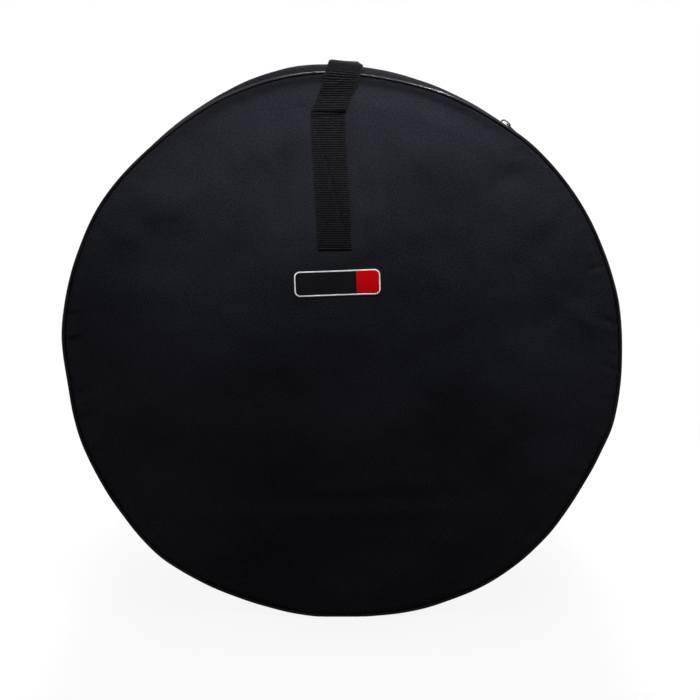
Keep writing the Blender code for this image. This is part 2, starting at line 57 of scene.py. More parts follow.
# The zip's line, its ends in degrees from the top, half the gap between the fabrics, and where the coils run
ZIP_Y = -0.213
ZIP_DEG = 33.4
ZIP_GAP = 0.0065
COIL_RADIUS = 0.3069
COIL_DEG = ZIP_DEG + 0.9
# Half the hinge strip and one end tab, in degrees
HINGE_DEG = 33.1
TAB_DEG = 3.6
# Where the covers, the foam and the lining of a round face end, and where the wall's fabric ends
COVER_EDGE = 0.3032
FOAM_EDGE = 0.2830
LINING_EDGE = 0.2932
WALL_END = 0.2372
# How deep the layers of a round face and of the wall lie, and where the wall's foam and lining start
FACE_DEPTHS = {"foam": 0.0054, "lining": 0.0100}
FOAM_DEPTHS = (0.0046, 0.0091)
LINING_DEPTHS = (0.0097, 0.0105)
FOAM_START = -0.1966
LINING_START = -0.1977

# The camera: focal length in pixels of a 700 pixel frame, distance, and where the middle of the rim lands
FRAME_PIXELS = 700
FOCAL = 1788.9
DISTANCE = 2.0
ELEVATION = math.radians(9.5)
MIDDLE = (341.0, 351.7)

# How far the slack front rim stands out of its circle, in mm by degrees clockwise from the top
EDGE = (
    (0, 2.5), (4, 1.2), (10, 0.6), (16, 0.7), (24, 2.0), (30, 1.8), (36, 2.7), (42, 5.0), (50, 5.1),
    (60, 5.9), (68, 5.3), (78, 7.0), (86, 7.0), (93, 7.8), (99, 9.0), (106, 10.9), (110, 8.0), (118, 6.6),
    (125, 7.3), (132, 9.6), (140, 10.3), (150, 9.2), (156, 6.6), (165, 4.9), (174, 1.7), (185, 1.8),
    (195, 0.2), (205, 1.3), (213, 4.2), (220, 6.8), (226, 5.8), (234, 3.1), (242, 2.5), (250, 3.2),
    (256, 2.4), (262, 1.1), (266, 1.5), (271, 4.0), (275, 5.2), (280, 4.9), (290, 5.1), (300, 6.1),
    (308, 4.6), (315, 2.3), (320, 1.5), (327, 2.4), (336, 4.2), (345, 4.6), (356, 4.3),
)
# The same for the slack wall between the zip and the rear seam
SLACK = (
    (0, 1.2), (8, -1.8), (15, -2.4), (25, -3.6), (32, -2.6), (40, -0.6), (50, 0.6), (180, 0.0), (316, -0.8),
    (327, -2.1), (336, 2.8), (345, 3.7), (354, 3.6),
)

# The strap: where its sewn stretch starts and ends, as (x, height over the bag's middle), and its cloth
STRAP_FOOT = (-0.0065, 0.1159)
STRAP_HEAD = (-0.0145, 0.2647)
STRAP_SEWN = STRAP_HEAD[1] - STRAP_FOOT[1]
STRAP_WIDTH = 0.038
STRAP_THICKNESS = 0.002
# Its rows of mesh points, how many of them a rib takes, and the mesh points across it
ROW = 0.000625
RIB = 4
COLUMNS = np.linspace(-1, 1, 31)

PATCH_SIZE = (0.098, 0.031)
PATCH_CORNER = 0.0075
PATCH_PLACE = (-0.004, 0.0785)
PATCH_TILT = math.radians(2)
PATCH_SPLIT = PATCH_SIZE[0] / 2 - 0.0277

# Helpers for shape


def smooth(share):
    share = np.clip(share, 0, 1)
    return share * share * (3 - 2 * share)


def bump(distance, width):
    return np.exp(-((distance / width) ** 2))


def softened(values, reach, wrap=False):
    """Running mean over 2 * reach + 1 values."""
    padded = np.pad(values, reach, mode="wrap" if wrap else "edge")
    return np.convolve(padded, np.ones(2 * reach + 1) / (2 * reach + 1), "valid")


WALL_PLACES = np.linspace(-0.245, 0.245, 491)
WALL_RADII = softened(softened(np.interp(WALL_PLACES, WALL_Y, WALL_R), 7), 5)
EDGE_PLACES = np.arange(0, 360, 1.0)
EDGE_REACH = softened(np.interp(EDGE_PLACES, *np.array(EDGE).T, period=360), 2, True) / 1000
WALL_REACH = softened(np.interp(EDGE_PLACES, *np.array(SLACK).T, period=360), 3, True) / 1000


def wall_radius(y):
    return np.interp(y, WALL_PLACES, WALL_RADII)


def wrapped(degrees):
    """The same angle between -180 and 180."""
    return (degrees + 180) % 360 - 180


def front_share(y):
    """How much of the rim's crookedness is left at y: none from the zip to the rear."""
    return smooth((-0.2215 - y) / 0.0175)


def pixel_of(x, z):
    """Where a point of the front face lands in the picture."""
    height = z - CENTRE
    depth = (DISTANCE - height * math.sin(ELEVATION)) / FOCAL
    return MIDDLE[0] + x / depth, MIDDLE[1] - height * math.cos(ELEVATION) / depth


def place(angle, radius, y, floor=0.0003):
    """Points at angles clockwise from the top, on the crooked outline and never below the floor."""
    angle, radius, y = np.broadcast_arrays(*(np.asarray(value, float) for value in (angle, radius, y)))
    out = np.interp(angle % 360, EDGE_PLACES, EDGE_REACH, period=360)
    radius = radius + out * front_share(y) * np.clip(radius / RIM, 0, 1) ** 3
    slack = np.interp(angle % 360, EDGE_PLACES, WALL_REACH, period=360)
    radius = radius + slack * smooth((y + 0.192) / 0.04) * smooth((0.228 - y) / 0.04)
    turn = np.radians(angle)
    height = np.maximum(CENTRE + radius * np.cos(turn), floor)
    return np.stack([radius * np.sin(turn), y, height], -1)


def grain(points, scale, seed):
    """Smooth noise from -1 to 1 at each point."""
    shift = Vector((seed * 7.31, seed * 3.17, seed * 5.77))
    values = [noise.noise(Vector(point) * scale + shift) for point in points.reshape(-1, 3)]
    return np.array(values).reshape(points.shape[:-1])


def added(name, data):
    """A new object in the scene."""
    made = bpy.data.objects.new(name, data)
    bpy.context.scene.collection.objects.link(made)
    return made


def make(name, points, faces, corner_uv, finish, sharp=40):
    """A mesh object with a UV map in metres."""
    mesh = bpy.data.meshes.new(name)
    mesh.from_pydata(points.reshape(-1, 3).tolist(), [], faces)
    layer = mesh.uv_layers.new(name="UVMap")
    layer.data.foreach_set("uv", np.asarray(corner_uv, float).ravel())
    mesh.materials.append(finish)
    mesh.shade_smooth()
    mesh.set_sharp_from_angle(angle=math.radians(sharp))
    return added(name, mesh)


def outward(piece):
    """Turns the faces of closed bodies outward."""
    data = bmesh.new()
    data.from_mesh(piece.data)
    bmesh.ops.recalc_face_normals(data, faces=data.faces)
    data.to_mesh(piece.data)
    data.free()
    return piece


def quads(rows, columns, loop_u=False, loop_v=False):
    """Rows and columns of each face's four corners, counted on past the end of a loop."""
    i, j = np.indices((rows if loop_u else rows - 1, columns if loop_v else columns - 1)).reshape(2, -1)
    return np.array([i, i + 1, i + 1, i]), np.array([j, j, j + 1, j + 1])


def end_faces(rings, sides):
    return [list(range(sides)), list(range((rings - 1) * sides, rings * sides))]


def grid(name, points, u, v, finish, loop_u=False, loop_v=False, caps=False, sharp=40):
    """Quads over points[i, j]; u and v give the place of each row and column on the cloth."""
    rows, columns = points.shape[:2]
    i, j = quads(rows, columns, loop_u, loop_v)
    faces = (i % rows * columns + j % columns).T.tolist()
    corner_uv = np.stack([u[i], v[j]], -1).swapaxes(0, 1).reshape(-1, 2)
    if caps:
        faces += end_faces(rows, columns)
        corner_uv = np.concatenate([corner_uv, np.zeros((2 * columns, 2))])
    return make(name, points, faces, corner_uv, finish, sharp)


def girth(angles):
    """Places round the rim in metres, on to where the first comes again."""
    return np.radians(np.append(angles, angles[0] + 360)) * RIM


def facing(piece, direction, face=0):
    """Turns an open sheet over if its face looks away from a direction."""
    if piece.data.polygons[face].normal.dot(direction) < 0:
        piece.data.flip_normals()
    return piece


def along(points):
    """Length along a row of points, from 0."""
    steps = np.linalg.norm(np.diff(points, axis=0), axis=1)
    return np.concatenate([[0], np.cumsum(steps)])


def sampled(places, reach, points):
    """Points at these places of a row of points, which itself lies at reach."""
    return np.stack([np.interp(places, reach, column) for column in points.T], -1)


def lathe(name, profile, finish, start=None, end=None, steps=360, ripple=0.0, seed=0, sharp=40):
    """A closed profile of (y, radius) carried round the bag, whole or from start to end in degrees."""
    profile = np.array(profile)
    whole = start is None
    angles = np.linspace(0, 360, steps, endpoint=False) if whole else np.linspace(start, end, steps)
    floor = 0.0003 + np.maximum(wall_radius(profile[:, 0]) - profile[:, 1], 0)
    points = place(angles[:, None], profile[None, :, 1], profile[None, :, 0], floor)
    if ripple:
        points = points + ripple * grain(points, 28, seed)[..., None] * radial(points)
    points[..., 2] = np.maximum(points[..., 2], floor)
    v = along(np.concatenate([profile, profile[:1]]))
    return outward(grid(name, points, girth(angles), v, finish, whole, True, not whole, sharp))


def radial(points):
    """Direction away from the bag's axis at each point."""
    away = points * (1, 0, 1) - (0, 0, CENTRE)
    return away / np.maximum(np.linalg.norm(away, axis=-1, keepdims=True), 1e-6)


def finer(points, axis, wrap):
    """Twice as many rows along an axis, on a smooth curve through the old ones."""
    p = np.moveaxis(points, axis, 0)
    ends = (p[-1:], p[:2]) if wrap else (2 * p[:1] - p[1:2], 2 * p[-1:] - p[-2:-1])
    wide = np.concatenate([ends[0], p, ends[1]])
    middle = (9 * (wide[1:-2] + wide[2:-1]) - wide[:-3] - wide[3:]) / 16
    out = np.empty((len(p) + len(middle), *p.shape[1:]))
    out[0::2], out[1::2] = p, middle
    return np.moveaxis(out, 0, axis)


def disc_places(cells):
    """Points of a square grid pressed into a unit disc, as (x, z), with the grid's faces."""
    line = np.linspace(-1, 1, cells + 1)
    a, b = np.meshgrid(line, line, indexing="ij")
    swap = np.abs(b) > np.abs(a)
    big, small = np.where(swap, b, a), np.where(swap, a, b)
    turn = np.pi / 4 * small / np.where(big == 0, 1, big)
    x = np.where(swap, big * np.sin(turn), big * np.cos(turn))
    z = np.where(swap, big * np.cos(turn), big * np.sin(turn))
    i, j = quads(cells + 1, cells + 1)
    return np.stack([x.ravel(), z.ravel()], -1), (i * (cells + 1) + j).T


def coordinates(mesh):
    out = np.empty(len(mesh.vertices) * 3)
    mesh.vertices.foreach_get("co", out)
    return out.reshape(-1, 3)


def set_coordinates(mesh, points):
    mesh.vertices.foreach_set("co", points.ravel())
    mesh.update()


def apply_modifiers(piece):
    """Keeps the mesh that the modifiers make."""
    evaluated = piece.evaluated_get(bpy.context.evaluated_depsgraph_get())
    mesh = bpy.data.meshes.new_from_object(evaluated)
    piece.modifiers.clear()
    piece.data = mesh


def subdivided(piece):
    """Adds one level of subdivision, which apply_modifiers keeps."""
    modifier = piece.modifiers.new("Subdivision", "SUBSURF")
    modifier.levels = modifier.render_levels = 1
    modifier.boundary_smooth = "PRESERVE_CORNERS"


def simulate(piece, pinned, pressure, cap, stiffness=12, frames=20):
    """Lets cloth swell under pressure while its edge is held, and keeps no move longer than cap."""
    rest = coordinates(piece.data)
    group = piece.vertex_groups.new(name="held")
    group.add([int(k) for k in pinned], 1.0, "REPLACE")
    cloth = piece.modifiers.new("Cloth", "CLOTH")
    settings = cloth.settings
    settings.quality = 5
    settings.mass = 0.3
    settings.tension_stiffness = settings.compression_stiffness = stiffness
    settings.shear_stiffness = stiffness / 2
    settings.bending_stiffness = 0.6
    settings.air_damping = 2
    settings.use_pressure = True
    settings.uniform_pressure_force = pressure
    settings.vertex_group_mass = "held"
    settings.effector_weights.gravity = 0
    cloth.collision_settings.use_collision = False
    cloth.point_cache.frame_start = 1
    cloth.point_cache.frame_end = frames
    for number in range(1, frames + 1):
        bpy.context.scene.frame_set(number)
    evaluated = piece.evaluated_get(bpy.context.evaluated_depsgraph_get())
    moved = coordinates(evaluated.data) - rest
    piece.modifiers.clear()
    piece.vertex_groups.clear()
    bpy.context.scene.frame_set(1)
    length = np.linalg.norm(moved, axis=1, keepdims=True)
    limit = cap * np.tanh(length / cap) / np.maximum(length, 1e-9)
    set_coordinates(piece.data, rest + moved * limit)


def settle(piece, body, slot, *nodes):
    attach(piece, body)
    if nodes:
        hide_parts(*nodes)
    return piece


def studs(name, points, finish):
    """Many small closed bodies in one mesh, from points[body, ring, corner]."""
    bodies, rings, sides = points.shape[:3]
    i, j = quads(rings, sides, loop_v=True)
    faces = (i * sides + j % sides).T.tolist() + end_faces(rings, sides)
    every = [[corner + body * rings * sides for corner in face] for body in range(bodies) for face in faces]
    flat = points.reshape(-1, 3)
    return outward(make(name, flat, every, flat[np.concatenate(every)][:, [0, 2]], finish, 180))


def unit(vectors):
    return vectors / np.maximum(np.linalg.norm(vectors, axis=-1, keepdims=True), 1e-9)


def stitches(name, paths, finish, pitch=0.0036, length=0.0027, radius=0.00035, sides=5):
    """Short rounded stitches along paths, each a pair of points and outward directions."""
    share = np.array([-0.5, -0.28, 0.28, 0.5])[:, None, None]
    girth = radius * np.array([0.35, 1.0, 1.0, 0.35])[:, None, None]
    turn = (np.arange(sides) * 2 * np.pi / sides)[:, None]
    bodies = []
    for path, normals in paths:
        reach = along(path)
        count = max(int(reach[-1] / pitch), 1)
        places = (np.arange(count) + 0.5) * reach[-1] / count
        middle = sampled(places, reach, path)
        go = unit(sampled(places + pitch / 4, reach, path) - middle)
        wide = unit(np.cross(go, sampled(places, reach, normals)))
        middle, go, wide, up = (values[:, None, None] for values in (middle, go, wide, np.cross(wide, go)))
        spine = middle + go * length * share + up * (0.5 * girth - 0.25 * radius)
        bodies.append(spine + (wide * np.cos(turn) + up * np.sin(turn) * 0.8) * girth)
    return studs(name, np.concatenate(bodies), finish)


def ring_path(y, radius, start=0, end=360, steps=1200):
    angles = np.linspace(start, end, steps)
    path = place(angles, radius, y)
    return path, radial(path)


# Materials


class Nodes:
    """A node tree built up step by step; each step gives an output, and takes outputs or plain values."""

    def __init__(self, tree):
        self.tree = tree

    def put(self, socket, value):
        if isinstance(value, bpy.types.NodeSocket):
            self.tree.links.new(value, socket)
        else:
            socket.default_value = (*value, 1) if socket.type == "RGBA" else value

    def node(self, kind, output=0, *inputs, **settings):
        made = self.tree.nodes.new(kind)
        for key, value in settings.items():
            if key in made.inputs:
                self.put(made.inputs[key], value)
            else:
                setattr(made, key, value)
        for socket, value in zip(made.inputs, inputs):
            self.put(socket, value)
        return made.outputs[output]

    def math(self, operation, first, *others):
        """Joins values two by two."""
        for value in others:
            first = self.node("ShaderNodeMath", 0, first, value, operation=operation)
        return first

    def ramp(self, value, low, high, to_low=0.0, to_high=1.0):
        return self.node("ShaderNodeMapRange", 0, value, low, high, to_low, to_high)

    def background_share(self):
        """1 for rays that look for the background: from the camera, or by way of gloss or glass."""
        rays = self.tree.nodes.new("ShaderNodeLightPath").outputs
        return self.math("MAXIMUM", rays["Is Camera Ray"], rays["Is Glossy Ray"], rays["Is Transmission Ray"])


class Finish(Nodes):
    """A material around the Principled shader."""

    def __init__(self, name, roughness, specular=0.5, sheen=0.0, sheen_roughness=0.5):
        self.material = bpy.data.materials.new(name)
        self.material.use_nodes = True
        super().__init__(self.material.node_tree)
        self.shader = self.tree.nodes["Principled BSDF"]
        self.set("Roughness", roughness)
        self.set("Specular IOR Level", specular)
        self.set("Sheen Weight", sheen)
        self.set("Sheen Roughness", sheen_roughness)
        self.normal = None

    def set(self, socket, value):
        self.put(self.shader.inputs[socket], value)

    def uv(self):
        return self.node("ShaderNodeUVMap", uv_map="UVMap")

    def space(self):
        return self.node("ShaderNodeTexCoord", "Object")

    def noise(self, where, scale, detail=2.0):
        return self.node("ShaderNodeTexNoise", "Fac", Vector=where, Scale=scale, Detail=detail)

    def bands(self, where, pitch, direction="X", twist=0.0):
        """Waves across the cloth at this pitch in metres."""
        wave = {"Vector": where, "Scale": 2 * math.pi / (20 * pitch), "Distortion": twist}
        return self.node("ShaderNodeTexWave", "Fac", bands_direction=direction, **wave)

    def mottled(self, where, scale, detail, *ends):
        """Noise stretched from one range to another."""
        return self.ramp(self.noise(where, scale, detail), *ends)

    def rubbed(self, where, scale, detail, low, high):
        """The worn places of the mesh, broken up by noise."""
        wear = self.node("ShaderNodeAttribute", "Fac", attribute_name="wear")
        return self.math("MULTIPLY", wear, self.mottled(where, scale, detail, low, high))

    def blend(self, share, *colours):
        made = self.tree.nodes.new("ShaderNodeMix")
        made.data_type = "RGBA"
        self.put(made.inputs["Factor"], share)
        for socket, value in zip([each for each in made.inputs if each.type == "RGBA"], colours):
            self.put(socket, value)
        return [each for each in made.outputs if each.type == "RGBA"][0]

    def colour(self, share, first, second):
        self.set("Base Color", self.blend(share, first, second))

    def relief(self, height, depth, strength):
        under = {"Normal": self.normal} if self.normal else {}
        self.normal = self.node("ShaderNodeBump", Height=height, Distance=depth, Strength=strength, **under)

    def done(self, roughness=None):
        for socket, value in (("Roughness", roughness), ("Normal", self.normal)):
            if value:
                self.set(socket, value)
        return self.material


def woven(name, dark, light, pitch, roughness, specular, sheen, relief, worn=(0.018, 0.018, 0.020)):
    """Plain weave: threads over and under at this pitch, with uneven yarn, soft mottling and lint."""
    f = Finish(name, roughness, specular, sheen, 0.45)
    uv, space = f.uv(), f.space()
    weave = f.math("MAXIMUM", f.bands(uv, pitch, "X", 0.25), f.bands(uv, pitch, "Y", 0.25))
    yarn = f.noise(uv, 1000)
    cloud = f.noise(space, 7, 4)
    uneven = f.ramp(yarn, 0.3, 0.7, -0.25, 0.5), f.mottled(uv, 470, 2, 0.35, 0.65, -0.1, 0.3)
    share = f.math("ADD", f.math("MULTIPLY", weave, 0.3), *uneven, f.ramp(cloud, 0.3, 0.7, -0.12, 0.15))
    lint = f.math("MULTIPLY", f.mottled(space, 310, 1, 0.80, 0.83), 0.4)
    pale = f.math("MINIMUM", f.math("MAXIMUM", lint, f.rubbed(uv, 160, 3, 0.35, 0.7)), 1.0)
    f.colour(pale, f.blend(share, dark, light), worn)
    f.relief(weave, pitch * 0.35, relief)
    f.relief(yarn, pitch * 0.3, relief * 0.6)
    return f.done(f.ramp(cloud, 0.3, 0.7, roughness - 0.05, roughness + 0.06))


def webbing_finish():
    """Ribbed webbing: a rib every few weft threads, crossed by the ends of the warp, coloured darker in the
    grooves between the ribs as painted shade.
    """
    f = Finish("webbing", 0.7, 0.008, 0.01, 0.4)
    uv = f.uv()
    ribs, ends, yarn = f.bands(uv, ROW * RIB), f.bands(uv, 0.0017, "Y", 0.4), f.noise(uv, 900)
    # Painted shade: the colour runs from near black in the grooves between the ribs to lighter on their
    # crests, over the yarn's own uneven tone.
    share = f.math("MULTIPLY", f.ramp(ribs, 0.15, 0.85), f.ramp(ends, 0.0, 1.0, 0.75, 1.0))
    uneven = f.ramp(yarn, 0.3, 0.7, -0.2, 0.2), f.mottled(uv, 300, 2, 0.3, 0.7, -0.3, 0.2)
    base = f.blend(f.math("ADD", share, *uneven), (0.0005, 0.0005, 0.0006), (0.0128, 0.0128, 0.0150))
    f.colour(f.rubbed(uv, 400, 2, 0.4, 0.8), base, (0.020, 0.020, 0.022))
    for height, depth, strength in ((ribs, 0.0004, 0.6), (ends, 0.0002, 0.6), (yarn, 0.00015, 0.5)):
        f.relief(height, depth, strength)
    return f.done()


def vinyl_finish():
    """Vinyl whose specular level rises towards the top of the bag: a painted highlight along the top, not
    polish.
    """
    f = Finish("piping_vinyl", 0.2)
    space = f.space()
    scuff = f.mottled(space, 24, 4, 0.45, 0.75)
    # Painted highlight: the specular level rises with height, so the piping's top shines more than its sides.
    f.set("Specular IOR Level", f.ramp(f.node("ShaderNodeSeparateXYZ", "Z", space), 0.50, 0.60, 0.05, 0.30))
    f.colour(scuff, (0.004, 0.004, 0.0046), (0.010, 0.010, 0.0112))
    f.relief(f.noise(space, 650), 0.0002, 0.06)
    return f.done(f.ramp(scuff, 0, 1, 0.10, 0.20))


def tape_finish():
    f = Finish("zip_tape", 0.8, 0.02)
    uv = f.uv()
    rows = f.bands(uv, 0.0009, "X", 0.3)
    f.colour(f.math("MULTIPLY", rows, f.noise(uv, 700)), (0.003, 0.003, 0.0035), (0.014, 0.014, 0.016))
    f.relief(f.math("MAXIMUM", rows, f.bands(uv, 0.0012, "DIAGONAL", 0.2)), 0.0003, 0.7)
    return f.done()


def coil_finish():
    f = Finish("zip_coil", 0.4, 0.12)
    rub = f.mottled(f.space(), 90, 3, 0.45, 0.7)
    f.colour(rub, (0.004, 0.004, 0.0045), (0.014, 0.014, 0.015))
    return f.done(f.ramp(rub, 0, 1, 0.3, 0.5))


def metal_finish():
    """Black paint, worn on its edges."""
    f = Finish("black_metal", 0.6, 0.01)
    space = f.space()
    rub = f.mottled(space, 420, 4, 0.5, 0.72)
    edge = f.ramp(f.node("ShaderNodeNewGeometry", "Pointiness"), 0.51, 0.58)
    worn = f.math("MULTIPLY", edge, f.mottled(space, 900, 2, 0.35, 0.6))
    f.colour(worn, f.blend(rub, (0.0025, 0.0025, 0.003), (0.008, 0.008, 0.009)), (0.02, 0.02, 0.02))
    f.relief(f.noise(space, 1500), 0.00005, 0.4)
    return f.done(f.ramp(rub, 0, 1, 0.45, 0.65))


def foam_finish():
    f = Finish("foam", 0.9, 0.1)
    pores = f.node("ShaderNodeTexVoronoi", "Distance", Vector=f.space(), Scale=700.0)
    f.colour(pores, (0.05, 0.05, 0.053), (0.13, 0.13, 0.135))
    f.relief(pores, 0.0005, 0.8)
    return f.done()


def thread_finish():
    f = Finish("black_thread", 0.6, 0.03)
    space = f.space()
    twist = f.bands(space, 0.0006, "DIAGONAL", 0.3)
    share = f.math("MULTIPLY", twist, f.noise(space, 500))
    f.colour(share, (0.0008, 0.0008, 0.0009), (0.0045, 0.0045, 0.0050))
    f.relief(twist, 0.0002, 0.6)
    return f.done()


def satin(name, dark, light, pitch, direction, specular=0.15, sheen=0.2):
    """Embroidery: thread laid side by side, slightly uneven."""
    f = Finish(name, 0.5, specular, sheen, 0.35)
    uv, space = f.uv(), f.space()
    rows, yarn = f.bands(uv, pitch, direction, 0.5), f.noise(uv, 1500)
    share = f.math("ADD", f.math("MULTIPLY", rows, 0.55), f.math("MULTIPLY", yarn, 0.5))
    f.colour(f.math("ADD", share, f.mottled(space, 60, 2, 0.3, 0.7, -0.15, 0.1)), dark, light)
    f.relief(rows, pitch * 0.5, 0.8)
    f.relief(yarn, 0.0001, 0.5)
    return f.done()


FABRIC_FINISH = woven(
    "outer_fabric", (0.0040, 0.0041, 0.0052), (0.0186, 0.0195, 0.0250), 0.0006, 0.75, 0.001, 0.0, 0.6
)
LINING_FINISH = woven("lining", (0.012, 0.013, 0.015), (0.026, 0.027, 0.031), 0.0004, 0.5, 0.2, 0.2, 0.4)
BINDING_FINISH = woven("binding", (0.009, 0.009, 0.010), (0.022, 0.022, 0.024), 0.0009, 0.7, 0.1, 0.2, 0.8)
WEBBING_FINISH = webbing_finish()
VINYL_FINISH = vinyl_finish()
TAPE_FINISH = tape_finish()
COIL_FINISH = coil_finish()
METAL_FINISH = metal_finish()
FOAM_FINISH = foam_finish()
THREAD_FINISH = thread_finish()
PATCH_FINISH = satin("patch_edge", (0.003, 0.003, 0.0035), (0.010, 0.010, 0.011), 0.0005, "X", 0.05, 0.03)
FIELD_FINISH = satin("patch_dark", (0.0025, 0.0025, 0.0032), (0.0085, 0.0088, 0.0105), 0.0005, "Y", 0.03, 0)
RED_FINISH = satin("patch_red", (0.38, 0.0008, 0.0018), (0.62, 0.0012, 0.0028), 0.0005, "Y", 0.03, 0)
WHITE_FINISH = satin("patch_white", (0.74, 0.75, 0.80), (0.96, 0.97, 1.0), 0.00045, "X")


# Tables of the round panels


PUCKERS = (
    # degrees, reach, half width and depth in mm; a negative depth puts the ridge on the other side
    (282, 14, 1.8, 1.0), (277.4, 24, 3.4, 1.8), (272.2, 28, 3.6, 2.2), (266, 26, 5.0, -0.8),
    (260, 44, 5.0, -2.0), (255, 34, 6.0, 1.2), (247, 46, 8.0, 1.0), (57.4, 26, 2.4, 1.2),
    (61.5, 24, 2.4, 1.2), (66.5, 20, 3.0, 0.9), (71.6, 28, 4.0, 1.6), (77.5, 20, 3.5, 0.7),
    (84.6, 48, 5.0, 2.2), (90, 24, 4.0, -0.8), (94.4, 30, 4.0, 2.0), (100, 24, 4.5, -1.0),
    (107, 36, 6.5, 1.0), (118, 40, 8.0, -1.0), (133, 44, 8.0, 1.2), (226, 44, 8.0, -1.2),
    (298, 34, 7.0, 0.9), (311, 30, 6.0, -0.9), (42, 34, 6.5, -1.0), (28, 26, 6.0, 0.8), (338, 30, 6.0, 0.8),
)
SWELLS = (
    # x and y in pixels of the photograph, half length, half width in px, turn in degrees, height in mm
    (165, 205, 70, 22, -18, 1.6), (150, 262, 60, 20, -8, -1.0), (262, 150, 60, 26, 35, 1.2),
    (300, 300, 80, 20, 4, -1.0), (430, 150, 60, 28, -30, 1.4), (520, 172, 44, 12, 30, -1.4),
    (548, 215, 36, 12, 50, 1.2), (590, 272, 30, 5, 88, -0.9), (548, 275, 30, 16, 70, 1.1),
    (596, 327, 34, 9, -35, 1.5), (500, 330, 70, 20, 20, -1.0), (420, 400, 90, 24, 25, 1.3),
    (520, 455, 70, 22, 35, -1.3), (250, 420, 90, 22, -10, 1.2), (170, 470, 60, 22, -40, -1.3),
    (302, 107, 9, 5, 10, -0.7), (345, 498, 120, 7, 2, -0.7), (345, 512, 120, 9, 1, 0.8),
    (400, 555, 60, 14, -12, -0.9), (255, 545, 60, 16, 18, 1.0), (375, 262, 26, 10, 20, -1.0),
    (280, 215, 12, 60, 0, -0.7),
)
# Waves over a whole face: height in mm, scale and the step in seed
WAVES = ((2.6, 8, 0), (3.6, 22, 1), (1.3, 48, 4))
# How much higher the swells stand than listed, fitted to the photograph's soft shading
SWELL_GAIN = 3.8


# Round panels


def puckers(angle, radius, edge, listed, extra, seed):
    """Creases that run in from the seam, deepest a little way in: those listed and some drawn at random."""
    draw = np.random.default_rng(seed)
    folds = list(listed)
    for _ in range(extra):
        ranges = (0, 360), (14, 44), (3, 8), (-0.4, 0.4)
        folds.append(tuple(draw.uniform(low, high) for low, high in ranges))
    inward = (edge - radius) * 1000
    height = np.zeros_like(radius)
    for degrees, reach, width, depth in folds:
        aside = ((angle - degrees + 180) % 360 - 180) * np.pi / 180 * radius * 1000
        aside = aside + 0.55 * math.sin(5 * degrees) * inward
        fade = smooth((inward - 1.5) / 5) * (1 - smooth(inward / reach)) ** 1.5
        shape = 0.75 * bump(aside - 1.25 * width * np.sign(depth), width) - bump(aside, width)
        height += 2.3 * abs(depth) * fade * shape
    return height / 1000


def swells(points, listed, seed):
    """Soft hills and hollows, the same in the fabric, the foam and the lining of a face."""
    height = sum(rise * grain(points, scale, seed + step) for rise, scale, step in WAVES)
    x, z = points[:, 0], points[:, 2]
    px, py = pixel_of(x, z)
    for cx, cy, half_length, half_width, turn, rise in listed:
        c, s = math.cos(math.radians(turn)), math.sin(math.radians(turn))
        a = (px - cx) * c - (py - cy) * s
        b = (px - cx) * s + (py - cy) * c
        height += SWELL_GAIN * rise * bump(a, half_length) * bump(b, half_width)
    height *= 1 - 0.7 * np.maximum(in_strap(x, z, 0.015), in_patch(x, z, 0.012))
    return height / 1000 * (1 - smooth((polar(points)[1] - 0.273) / 0.028))


def in_strap(x, z, margin):
    """From 0 outside the sewn strap to 1 well inside it."""
    up = z - CENTRE - STRAP_FOOT[1]
    middle = STRAP_FOOT[0] + (STRAP_HEAD[0] - STRAP_FOOT[0]) * np.clip(up / STRAP_SEWN, 0, 1)
    aside = STRAP_WIDTH / 2 - np.abs(x - middle)
    return smooth((np.minimum(np.minimum(aside, up), STRAP_HEAD[1] - (z - CENTRE)) + margin) / (2 * margin))


def in_patch(x, z, margin):
    dx, dz = x - PATCH_PLACE[0], z - CENTRE - PATCH_PLACE[1]
    c, s = math.cos(PATCH_TILT), math.sin(PATCH_TILT)
    a, b = dx * c + dz * s, dz * c - dx * s
    inside = np.minimum(PATCH_SIZE[0] / 2 - np.abs(a), PATCH_SIZE[1] / 2 - np.abs(b))
    return smooth((inside + margin) / (2 * margin))


def rolled_in(angle, radius, edge):
    """How far the fabric is drawn back at its seam: a narrow groove, and a wide hollow at the top."""
    inward = edge - radius
    top = smooth((62 - np.abs(wrapped(angle))) / 45)
    roll = smooth((inward + 0.001) / 0.012) * (1 - smooth((inward - 0.010) / 0.022))
    return 0.0008 * (1 - smooth(inward / 0.0018)) + (0.0003 + 0.0050 * top) * roll


def panel(name, side, sink, edge, cells, finish, crown=0.004):
    """A round sheet at a depth below the panel's face, swelling to the middle, and the points on its rim."""
    flat, faces = disc_places(cells)
    radius = np.linalg.norm(flat, axis=1) * edge
    angle = np.degrees(np.arctan2(flat[:, 0], flat[:, 1]))
    points = place(angle, radius, side * HALF)
    points[:, 1] = side * (HALF + FABRIC / 2 + crown * (1 - (radius / edge) ** 2) - sink)
    faces = faces[:, :: -side]
    made = make(name, points, faces.tolist(), (flat * edge)[faces.ravel()], finish, 180)
    return facing(made, (0, side, 0)), np.flatnonzero(radius > edge * 0.985)


def thicken(piece, thickness):
    shell = piece.modifiers.new("Thickness", "SOLIDIFY")
    shell.thickness = thickness
    shell.offset = -1
    apply_modifiers(piece)
    piece.data.shade_smooth()
    piece.data.set_sharp_from_angle(angle=math.radians(60))


def wear_attribute(piece, values):
    layer = piece.data.attributes.new("wear", "FLOAT", "POINT")
    layer.data.foreach_set("value", values.astype(np.float32))


def polar(points):
    x, z = points[:, 0], points[:, 2] - CENTRE
    return np.degrees(np.arctan2(x, z)) % 360, np.hypot(x, z)


